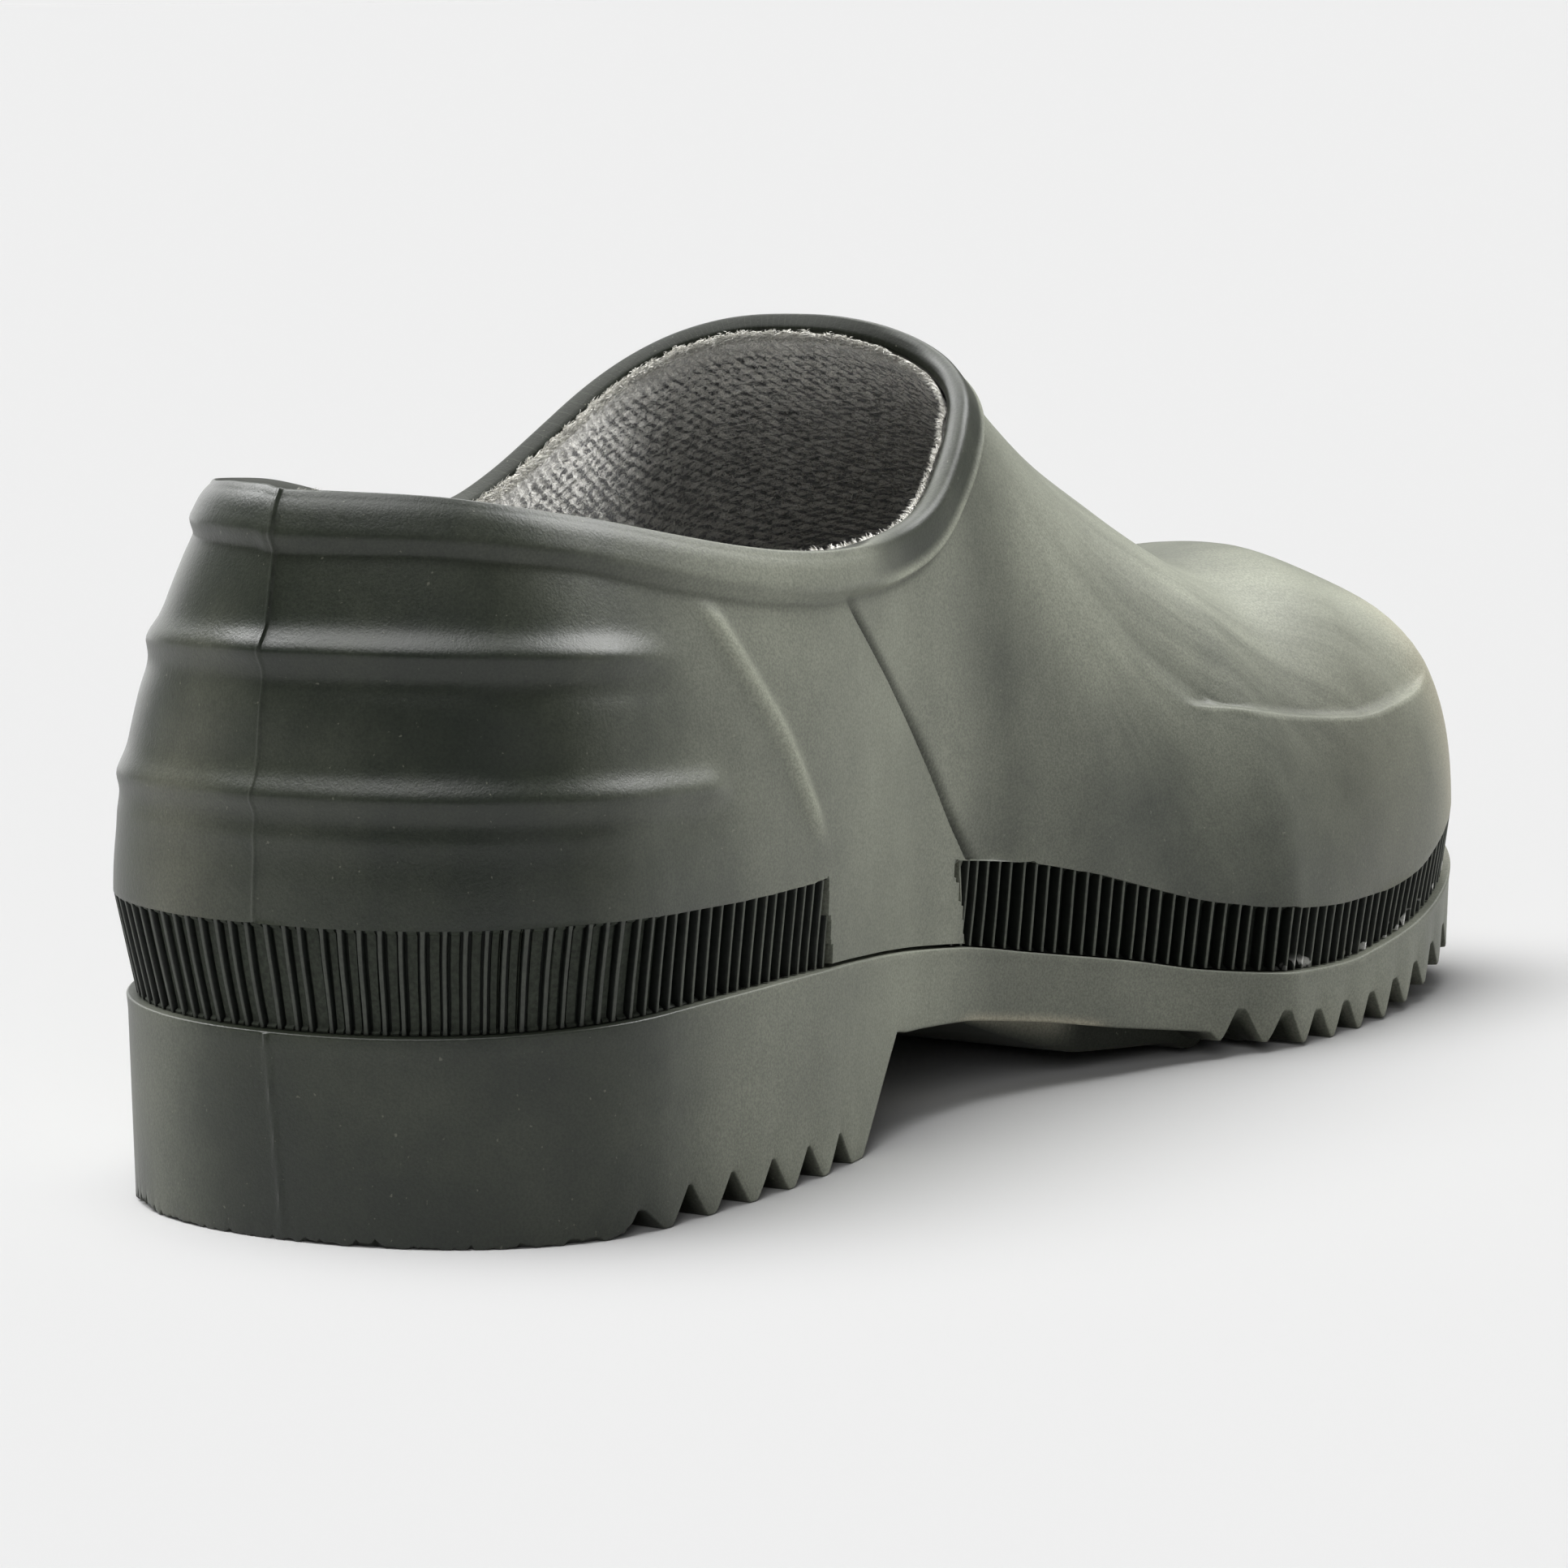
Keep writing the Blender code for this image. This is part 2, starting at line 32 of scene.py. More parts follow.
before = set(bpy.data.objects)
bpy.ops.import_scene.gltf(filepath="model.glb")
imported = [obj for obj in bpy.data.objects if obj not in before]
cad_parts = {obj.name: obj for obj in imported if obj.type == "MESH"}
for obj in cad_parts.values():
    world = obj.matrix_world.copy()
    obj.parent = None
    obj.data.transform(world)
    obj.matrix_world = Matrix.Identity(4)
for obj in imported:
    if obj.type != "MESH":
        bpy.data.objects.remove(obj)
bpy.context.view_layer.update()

# The last, in the same sizes as the solids
lastForm = {
    "length": 292.0, "heelCap": 36.0, "heelRound": 2.16,
    "toeTip": -18.0, "toeRoundRight": 2.47, "toeRoundLeft": 2.2,
    # station, half-width
    "rightEdge": [(36, 44.1), (55, 44.0), (75, 42.5), (90, 39.7), (105, 36.0), (120, 32.6),
                  (135, 31.4), (150, 33.6), (165, 37.3), (180, 40.7), (195, 45.6), (206, 49.1)],
    "leftEdge": [(36, 44.1), (55, 43.9), (75, 43.0), (90, 41.8), (105, 40.5), (120, 39.7),
                 (135, 40.5), (150, 43.6), (165, 48.0), (175, 50.7), (186, 52.0)],
    # station, height of the ledge, height of the upper's lower edge
    "sideLevels": [(0, 29.4, 44.9), (18, 30.1, 45.0), (40, 30.6, 44.5), (60, 30.7, 44.0), (80, 30.3, 43.9),
                   (98, 29.1, 42.8), (120, 26.8, 40.7), (134, 25.1, 39.0), (150, 22.2, 36.6),
                   (170, 18.6, 31.4), (189, 14.7, 26.1), (205, 12.7, 23.5), (223, 12.0, 22.2),
                   (236, 12.9, 22.2), (250, 14.4, 23.4), (264, 16.9, 27.0), (278, 20.5, 31.6),
                   (292, 25.0, 37.0)],
    # station, height of the crest
    "crestHeight": [(0, 153.0), (40, 133.5), (90, 149.0), (125, 156.0), (146, 132.4), (160, 116.7),
                    (174, 104.8), (190, 94.0), (207, 83.8), (225, 77.4), (250, 79.5), (275, 79.5),
                    (292, 73.5)],
    # station, sideways place of the crest
    "crestPlace": [(0, 0.0), (60, 0.0), (120, 2.3), (150, 3.3), (190, -2.5), (250, -9.8), (292, -18.0)],
    # station, fullness across, fullness upward
    "fullness": [(0, 1.40, 1.70), (60, 1.75, 1.93), (130, 2.25, 2.35), (190, 1.95, 1.90),
                 (240, 2.15, 2.08), (292, 2.40, 2.35)],
    # bearing from the heel round the right side, height of the collar's edge below its rounded crown
    "collarLine": [(0, 103.2), (15, 102.2), (30, 98.8), (45, 94.9), (60, 92.1), (75, 90.4), (90, 89.5),
                   (105, 89.2), (120, 89.1), (131, 89.5), (138, 90.6), (144, 93.2), (150, 98.7),
                   (156, 105.6), (162, 110.3), (170, 114.6), (178, 118.0), (186, 119.4), (194, 119.4),
                   (202, 117.7), (210, 113.8), (218, 108.6), (226, 103.6), (240, 97.0), (255, 93.2),
                   (270, 92.3), (285, 93.6), (300, 96.1), (315, 98.8), (330, 101.2), (345, 102.7),
                   (360, 103.2)],
    "collarEven": 4.0,
    # station, height of the toe facet's edge
    "facetEdge": [(170, 62.5), (188, 57.2), (199, 55.7), (208, 54.1), (219, 52.4), (229, 51.2), (240, 50.5),
                  (251, 51.1), (264, 52.2), (274, 54.4), (287, 58.0), (294, 61.0)],
    "overBack": 2.2, "overSide": 0.7, "overPower": 0.3,
    "collarX": 85.0, "collarY": 2.0,
    "heelDome": 63.5, "heelDomeRound": 2.22, "toeDome": 220.5, "toeDomeRound": 2.65,
    "wall": 3.0, "padFrom": 78.5, "padTo": 130.5,
}
length = lastForm["length"]
wall = lastForm["wall"]
collarCentre = np.array([lastForm["collarX"], lastForm["collarY"]])

# Where the drawing's zero lies in the frame: the outsole starts at the heel back and at its widest right edge
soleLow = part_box("outsole")[0]
originShift = np.array([soleLow.x * 1000, soleLow.y * 1000 + lastForm["rightEdge"][-1][1], soleLow.z * 1000])


def ease(t):
    # 0 to 1 with level ends
    t = np.clip(t, 0.0, 1.0)
    return t * t * (3 - 2 * t)


def ramp(v, start, span):
    # eased way from 0 at start to 1 a span further on; a negative span runs the other way
    return ease((v - start) / span)


def bell(d, width):
    # soft hump of height 1
    return np.exp(-(d / width) ** 2)


def hump(v, high, place, width):
    # soft hump of its own height and place
    return high * bell(v - place, width)


def unit(v):
    # vectors brought to length 1
    return v / np.linalg.norm(v, axis=-1)[..., None]


def runLength(points):
    # distance of each point of a line from its start
    return np.r_[0, np.cumsum(np.linalg.norm(np.diff(points, axis=0), axis=1))]


def closeEnds(count):
    # 0 to 1 in stops that lie closer toward both ends: half a cosine wave
    return (1 - np.cos(np.linspace(0, np.pi, count))) / 2


def signedPower(v, power):
    # power of a sine or cosine that keeps its sign, for superellipses
    return np.sign(v) * np.abs(v) ** power


def curveOf(table, column=1, flatEnds=False):
    # cubic through a table's rows that never overshoots: slopes are weighted harmonic means of both sides'
    xs = np.array([row[0] for row in table], float)
    ys = np.array([row[column] for row in table], float)
    h = np.diff(xs)
    d = np.diff(ys) / h
    slope = np.zeros(len(xs))
    same = d[:-1] * d[1:] > 0
    w1, w2 = 2 * h[1:] + h[:-1], h[1:] + 2 * h[:-1]
    mean = (w1 + w2) / (w1 / np.where(same, d[:-1], 1.0) + w2 / np.where(same, d[1:], 1.0))
    slope[1:-1] = np.where(same, mean, 0.0)
    if not flatEnds:
        slope[0], slope[-1] = d[0], d[-1]

    def value(x):
        x = np.clip(np.asarray(x, float), xs[0], xs[-1])
        i = np.clip(np.searchsorted(xs, x, side="right") - 1, 0, len(h) - 1)
        t = (x - xs[i]) / h[i]
        start = (1 + 2 * t) * (1 - t) ** 2 * ys[i] + t * (1 - t) ** 2 * h[i] * slope[i]
        end = t * t * (3 - 2 * t) * ys[i + 1] + t * t * (t - 1) * h[i] * slope[i + 1]
        return start + end
    return value


def closedCurve(table, spread):
    # a table over 0 to 360 degrees made even: its curve averaged under a bell that is spread degrees wide
    ring = np.arange(720) * 0.5
    weight = bell((ring + 180) % 360 - 180, spread)
    even = np.fft.irfft(np.fft.rfft(curveOf(table)(ring)) * np.fft.rfft(weight / weight.sum()), len(ring))

    def value(bearing):
        return np.interp(bearing, np.r_[ring, 360], np.r_[even, even[0]])
    return value


rightWidth = curveOf(lastForm["rightEdge"], flatEnds=True)
leftWidth = curveOf(lastForm["leftEdge"], flatEnds=True)
ledgeHeight = curveOf(lastForm["sideLevels"], 1)
featherHeight = curveOf(lastForm["sideLevels"], 2)
crestHeight = curveOf(lastForm["crestHeight"])
crestPlace = curveOf(lastForm["crestPlace"])
fullAcross = curveOf(lastForm["fullness"], 1)
fullUp = curveOf(lastForm["fullness"], 2)
collarHeight = closedCurve(lastForm["collarLine"], lastForm["collarEven"])
facetHeight = curveOf(lastForm["facetEdge"])


def rounded(u, power):
    # quarter of a superellipse: 1 at its middle, 0 at its end
    return np.clip(1 - np.clip(u, 0, 1) ** power, 0, 1) ** (1 / power)


def ripple(points, high, size, seed, waves=7):
    # slow unevenness: a sum of sine waves in random directions, about size long, mean 0 and about high tall
    rng = np.random.default_rng(seed)
    way = rng.normal(size=(waves, 3))
    way *= (2 * np.pi / size * rng.uniform(0.6, 1.6, waves) / np.linalg.norm(way, axis=1))[:, None]
    phase = rng.uniform(0, 2 * np.pi, waves)
    return high * (np.sin(points @ way.T + phase).sum(-1) / np.sqrt(waves))


def soleEdge(x, side):
    # sideways place of the sole's edge: rounded heel, table, rounded toe
    x = np.asarray(x, float)
    table = lastForm["rightEdge"] if side < 0 else lastForm["leftEdge"]
    width = rightWidth if side < 0 else leftWidth
    power = lastForm["toeRoundRight"] if side < 0 else lastForm["toeRoundLeft"]
    cap, tip, ball = lastForm["heelCap"], lastForm["toeTip"], table[-1][0]
    heel = side * table[0][1] * rounded((cap - x) / cap, lastForm["heelRound"])
    toe = tip + (side * table[-1][1] - tip) * rounded((x - ball) / (length - ball), power)
    return np.where(x < cap, heel, np.where(x > ball, toe, side * width(x)))


def planOutline(back=0.0, aside=0.0, stops=1400):
    # closed plan curve: heel back, right side, toe tip, left side, with distances and outward normals
    t = closeEnds(stops)
    x = t * length
    more = aside * np.sin(np.pi * t) ** lastForm["overPower"]
    p = np.r_[np.c_[x, soleEdge(x, -1) - more], np.c_[x, soleEdge(x, 1) + more][-2::-1]]
    p[:, 0] = p[:, 0] / length * (length + back) - back
    s = runLength(p)
    ring = np.r_[p[-2:-1], p, p[1:2]]
    along = unit(ring[2:] - ring[:-2])
    return {"p": p, "s": s, "n": np.c_[along[:, 1], -along[:, 0]], "half": stops,
            "toe": s[stops - 1], "total": s[-1]}


soleLine = planOutline()
upperLine = planOutline(lastForm["overBack"], lastForm["overSide"])


def outlineAt(line, s, inset=0.0):
    # plan points at distances s, moved inward by inset
    s = np.mod(np.asarray(s, float), line["total"])
    p, n = [np.stack([np.interp(s, line["s"], line[key][:, c]) for c in (0, 1)], -1) for key in "pn"]
    return p - unit(n) * np.broadcast_to(np.asarray(inset, float), s.shape)[..., None]


def outlineAlong(line, x, side):
    # distance along the outline at station x of one side
    xs = line["p"][:line["half"], 0]
    if side < 0:
        return np.interp(x, xs, line["s"][:line["half"]])
    return np.interp(x, xs, line["s"][line["half"] - 1:][::-1])


def fromHeel(line, s):
    # distance from the heel's back along the outline, below 0 on the left
    return np.where(s > line["total"] / 2, s - line["total"], s)


def lifted(flat, z):
    # plan points and their heights put together
    return np.concatenate([flat, z[..., None]], -1)


def crowdedStops(total, count, spots, fine=12001):
    # stops along a closed line, closer at the spots (place, width, gain): equal shares of a summed density
    s = np.linspace(0, total, fine)
    density = np.ones_like(s)
    for place, width, gain in spots:
        density += gain * bell(np.abs((s - place + total / 2) % total - total / 2), width)
    run = np.r_[0, np.cumsum((density[1:] + density[:-1]) / 2 * np.diff(s))]
    return np.interp(np.arange(count) / count * run[-1], run, s)


def domeHeight(x, y):
    # outer form of the upper over the plan: a superellipse across, under a crest, round at heel and toe
    xs = np.clip((x + lastForm["overBack"]) / (length + lastForm["overBack"]) * length, 0, length)
    more = lastForm["overSide"] * np.sin(np.pi * xs / length) ** lastForm["overPower"]
    right, left = soleEdge(xs, -1) - more, soleEdge(xs, 1) + more
    crest = np.clip(crestPlace(xs), right, left)
    toRight = (crest - y) / np.maximum(crest - right, 1e-6)
    toLeft = (y - crest) / np.maximum(left - crest, 1e-6)
    across = np.clip(np.where(y < crest, toRight, toLeft), 0, 1)
    ends = rounded((lastForm["heelDome"] - xs) / lastForm["heelDome"], lastForm["heelDomeRound"])
    past = (xs - lastForm["toeDome"]) / (length - lastForm["toeDome"])
    ends = ends * rounded(past, lastForm["toeDomeRound"])
    foot = featherHeight(xs)
    swell = np.clip(1 - across ** fullAcross(xs), 0, 1) ** (1 / fullUp(xs))
    return foot + (crestHeight(xs) - foot) * ends * swell


def domePaths(plan, rimExtra=0.0, stops=700, reach=0.98):
    # straight plan lines from the lower edge toward the collar's centre, lifted on the dome and cut at the
    # collar; their stops are closer low down, where the dome is steep
    bearing = np.mod(np.degrees(np.arctan2(collarCentre[1] - plan[:, 1], collarCentre[0] - plan[:, 0])), 360)
    rim = collarHeight(bearing) + rimExtra
    g = np.linspace(0, 1, stops) ** 3 * reach
    flat = plan[:, None, :] + (collarCentre - plan)[:, None, :] * g[None, :, None]
    z = domeHeight(flat[..., 0], flat[..., 1])
    p = lifted(flat, z)
    row = np.arange(len(plan))
    first = np.argmax(z >= rim[:, None], axis=1)
    before, after = p[row, first - 1], p[row, first]
    end = before + (after - before) * ((rim - before[:, 2]) / (after[:, 2] - before[:, 2]))[:, None]
    past = np.arange(stops)[None, :] >= first[:, None]
    p = np.where(past[..., None], end[:, None, :], p)
    run = np.cumsum(np.linalg.norm(np.diff(p, axis=1), axis=2), axis=1)
    return bearing, p, np.c_[np.zeros(len(plan)), run]


def pathAt(paths, run, at):
    # points at given distances along each path: all paths laid end to end, so that one lookup serves them all
    apart, hair = 1000.0, 1e-7  # longer than any path; keeps points that coincide in order
    shift = np.arange(len(run))[:, None] * apart
    known = (run + np.arange(run.shape[1]) * hair + shift).ravel()
    wanted = (at + shift).ravel()
    return np.stack([np.interp(wanted, known, paths[..., c].ravel()).reshape(at.shape) for c in range(3)], -1)


def gridNormals(grid):
    # outward normals of a grid of closed rings: the way round crossed with the way up
    around = np.roll(grid, -1, axis=0) - np.roll(grid, 1, axis=0)
    normal = np.cross(around, np.gradient(grid, axis=1))
    return normal / np.maximum(np.linalg.norm(normal, axis=2), 1e-9)[..., None]


def gridFaces(columns, levels, wrapColumns=True, wrapLevels=False):
    # quads between neighbouring columns and levels, with the corner places (column, level) for a UV map
    c = np.arange(columns if wrapColumns else columns - 1)
    k = np.arange(levels if wrapLevels else levels - 1)
    c, k = [v.ravel() for v in np.meshgrid(c, k, indexing="ij")]
    cc = np.stack([c, c + 1, c + 1, c], -1)
    kk = np.stack([k, k, k + 1, k + 1], -1)
    return (cc % columns) * levels + kk % levels, cc, kk


def signedVolume(points, quads):
    # sum of the tetrahedra from the origin to each half quad
    a, b, c, d = [points[quads[:, i]] for i in range(4)]
    return (np.cross(a, b) * c).sum() / 6 + (np.cross(a, c) * d).sum() / 6


def facedOut(points, quads, *more):
    # corners of the faces, and what goes with them, turned round where the closed shape is inside out
    inside = signedVolume(points, quads) < 0
    return [corners[:, ::-1] if inside else corners for corners in (quads, *more)]


shoePieces = bpy.data.collections.new("shoe_pieces")
bpy.context.scene.collection.children.link(shoePieces)


def makePiece(name, points, faces, material, uv=None, layers=None, sharp=None):
    # one mesh object from points in millimetres, quads or triangles, corner UVs and point attributes
    mesh = bpy.data.meshes.new(name)
    scenePoints = (np.asarray(points) + originShift) * 0.001
    faces = [np.asarray(f) for f in (faces if isinstance(faces, list) else [faces])]
    mesh.from_pydata(scenePoints.tolist(), [], [row for f in faces for row in f.tolist()])
    if uv is not None:
        layer = mesh.uv_layers.new(name="skin")
        layer.data.foreach_set("uv", np.concatenate([u.reshape(-1) for u in uv]).astype(np.float32))
    for key, values in (layers or {}).items():
        layer = mesh.attributes.new(key, "FLOAT", "POINT")
        layer.data.foreach_set("value", np.asarray(values, np.float32).ravel())
    mesh.shade_smooth()
    if sharp is not None:
        mesh.set_sharp_from_angle(angle=np.radians(sharp))
    mesh.update()
    mesh.materials.append(material)
    piece = bpy.data.objects.new(name, mesh)
    shoePieces.objects.link(piece)
    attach(piece, "root")
    print("made", name, len(mesh.vertices), "points")
    return piece


# Small helpers for material nodes
def startMaterial(name):
    material = bpy.data.materials.new(name)
    material.use_nodes = True
    return material, material.node_tree, material.node_tree.nodes["Principled BSDF"]


def feed(tree, node, inputs):
    # each socket takes a value, or a link from the output socket that is given
    for key, value in inputs.items():
        if isinstance(value, bpy.types.NodeSocket):
            tree.links.new(value, node.inputs[key])
        else:
            node.inputs[key].default_value = value


def addNode(tree, kind, inputs=None, **settings):
    node = tree.nodes.new("ShaderNode" + kind)
    for key, value in settings.items():
        setattr(node, key, value)
    feed(tree, node, inputs or {})
    return node


def objectPlace(tree):
    return addNode(tree, "TexCoord").outputs["Object"]


def skinPlace(tree):
    return addNode(tree, "UVMap", uv_map="skin").outputs[0]


def calc(tree, operation, a, b=0.0, c=0.0):
    return addNode(tree, "Math", {0: a, 1: b, 2: c}, operation=operation).outputs[0]


def centred(tree, noise, gain):
    # gain times (noise less a half)
    return calc(tree, "MULTIPLY_ADD", noise, gain, -0.5 * gain)


def noiseOf(tree, where, scale, detail=2.0, rough=0.5, warp=0.0):
    inputs = {"Vector": where, "Scale": scale, "Detail": detail, "Roughness": rough, "Distortion": warp}
    return addNode(tree, "TexNoise", inputs).outputs["Fac"]


def stretched(tree, where, scale):
    return addNode(tree, "Mapping", {"Vector": where, "Scale": scale}).outputs[0]


def ranged(tree, value, low, high, toLow=0.0, toHigh=1.0):
    inputs = {"Value": value, "From Min": low, "From Max": high, "To Min": toLow, "To Max": toHigh}
    return addNode(tree, "MapRange", inputs, interpolation_type="SMOOTHSTEP").outputs[0]


def blended(tree, share, a, b, mode="MIX"):
    return addNode(tree, "Mix", {0: share, 6: a, 7: b}, data_type="RGBA", blend_type=mode).outputs[2]


def layerOf(tree, name):
    return addNode(tree, "Attribute", attribute_name=name).outputs["Fac"]


def bumped(tree, height, strength, distance, **more):
    inputs = {"Strength": strength, "Distance": distance, "Height": height, **more}
    return addNode(tree, "Bump", inputs).outputs[0]


# Moulded PVC: olive, satin, finely grained, with a pale bloom where its dust share is high: settled dust, and
# painted light on tops and lit sides
pvcLook = {
    "deep": (0.0125, 0.0170, 0.0115, 1), "body": (0.0225, 0.0280, 0.0170, 1),
    "bloom": (0.292, 0.305, 0.240, 1), "tanAndRimLight": (0.430, 0.395, 0.290, 1),
    # grime: the colour of painted shade, and of real grime on the cut rim
    "speck": (0.26, 0.26, 0.20, 1), "grimeAndShade": (0.010, 0.012, 0.008, 1),
    # noises: scale, detail, roughness
    "grain": (2600.0, 2.0, 0.6), "pebble": (910.0, 2.0, 0.5), "mottle": (38.0, 4.0, 0.6),
    "dots": (1300.0, 1.0),
    # brushed streaks along the wall: stretch, noise, gain
    "streaks": [((11.0, 0.9, 1.0), (1.0, 3.0, 0.55, 0.4), 0.62), ((70.0, 6.0, 1.0), (1.0, 2.0, 0.6), 0.16)],
    # knife marks across the cut rim: pitch, width, share
    "cuts": (0.037, 0.0016, 0.55),
    # gain and base, or noise from and to with the values that they become
    "mottleBloom": (0.36, -0.17), "mottleTone": (0.25, 0.75), "speckShare": (0.75, 0.80, 0.0, 0.30),
    "grainTone": (0.28, 0.72, 0.78, 1.22), "bloomRough": (0.30, 0.32), "grainRough": 0.10,
    "gloss": (-0.42, 0.5), "grainBump": (0.22, 0.0002), "pebbleBump": (0.09, 0.0004), "ior": 1.50,
    "sheen": 0.03, "sheenRough": 0.45, "sheenTint": (0.90, 0.90, 0.86, 1),
}


def pvcMaterial(name, onUpper):
    look = pvcLook
    material, tree, shader = startMaterial(name)
    where = objectPlace(tree)
    noises = ("grain", "pebble", "mottle", "dots")
    grain, pebble, mottle, dots = [noiseOf(tree, where, *look[kind]) for kind in noises]
    bloom = calc(tree, "MULTIPLY_ADD", mottle, *look["mottleBloom"])
    bloom = calc(tree, "ADD", bloom, layerOf(tree, "dustAndLight"))
    if onUpper:
        skin = skinPlace(tree)
        lines = [centred(tree, noiseOf(tree, stretched(tree, skin, way), *noise), gain)
                 for way, noise, gain in look["streaks"]]
        bloom = calc(tree, "MULTIPLY_ADD", calc(tree, "ADD", *lines), layerOf(tree, "streak"), bloom)
    colour = blended(tree, ranged(tree, mottle, *look["mottleTone"]), look["deep"], look["body"])
    # pale bloom: dust, and in places painted light
    colour = blended(tree, ranged(tree, bloom, 0.0, 1.0), colour, look["bloom"])
    # tan: tan dust and scuffs, and at the toe and the heel's left side a painted warm rim light
    colour = blended(tree, layerOf(tree, "tanAndRimLight"), colour, look["tanAndRimLight"])
    if onUpper:
        pitch, wide, share = look["cuts"]
        near = calc(tree, "PINGPONG", addNode(tree, "SeparateXYZ", {0: skin}).outputs[0], pitch / 2)
        marks = calc(tree, "MULTIPLY", ranged(tree, near, 0.0, wide, share, 0.0), layerOf(tree, "rim"))
        colour = blended(tree, marks, colour, look["bloom"])
    # darker toward the grime colour: painted shade in creases, recesses, under the collar roll and under the
    # sole, and real grime on the cut rim
    colour = blended(tree, layerOf(tree, "grimeAndShade"), colour, look["grimeAndShade"])
    colour = blended(tree, 1.0, colour, ranged(tree, grain, *look["grainTone"]), "MULTIPLY")
    colour = blended(tree, ranged(tree, dots, *look["speckShare"]), colour, look["speck"])
    rough = calc(tree, "MULTIPLY_ADD", bloom, *look["bloomRough"])
    fine = bumped(tree, grain, *look["grainBump"])
    feed(tree, shader, {
        "Base Color": colour, "Roughness": calc(tree, "MULTIPLY_ADD", grain, look["grainRough"], rough),
        "Specular IOR Level": calc(tree, "MULTIPLY_ADD", layerOf(tree, "grimeAndShade"), *look["gloss"]),
        "IOR": look["ior"], "Sheen Weight": look["sheen"], "Sheen Roughness": look["sheenRough"],
        "Sheen Tint": look["sheenTint"], "Normal": bumped(tree, pebble, *look["pebbleBump"], Normal=fine)})
    return material


# Camera, standing where the photographer stood
cameraSet = {
    "place": (-0.80779, -0.53296, 0.17350), "turn": (1.44987, 0.01051, -0.99077),
    "lens": 142.248, "shift": (-0.03592, -0.03525), "clipEnd": 200.0,
}
camera = bpy.data.objects.new("camera", bpy.data.cameras.new("camera"))
camera.location = cameraSet["place"]
camera.rotation_euler = cameraSet["turn"]
camera.data.lens = cameraSet["lens"]
camera.data.shift_x, camera.data.shift_y = cameraSet["shift"]
camera.data.clip_end = cameraSet["clipEnd"]
bpy.context.scene.collection.objects.link(camera)
bpy.context.scene.camera = camera
print("camera set")

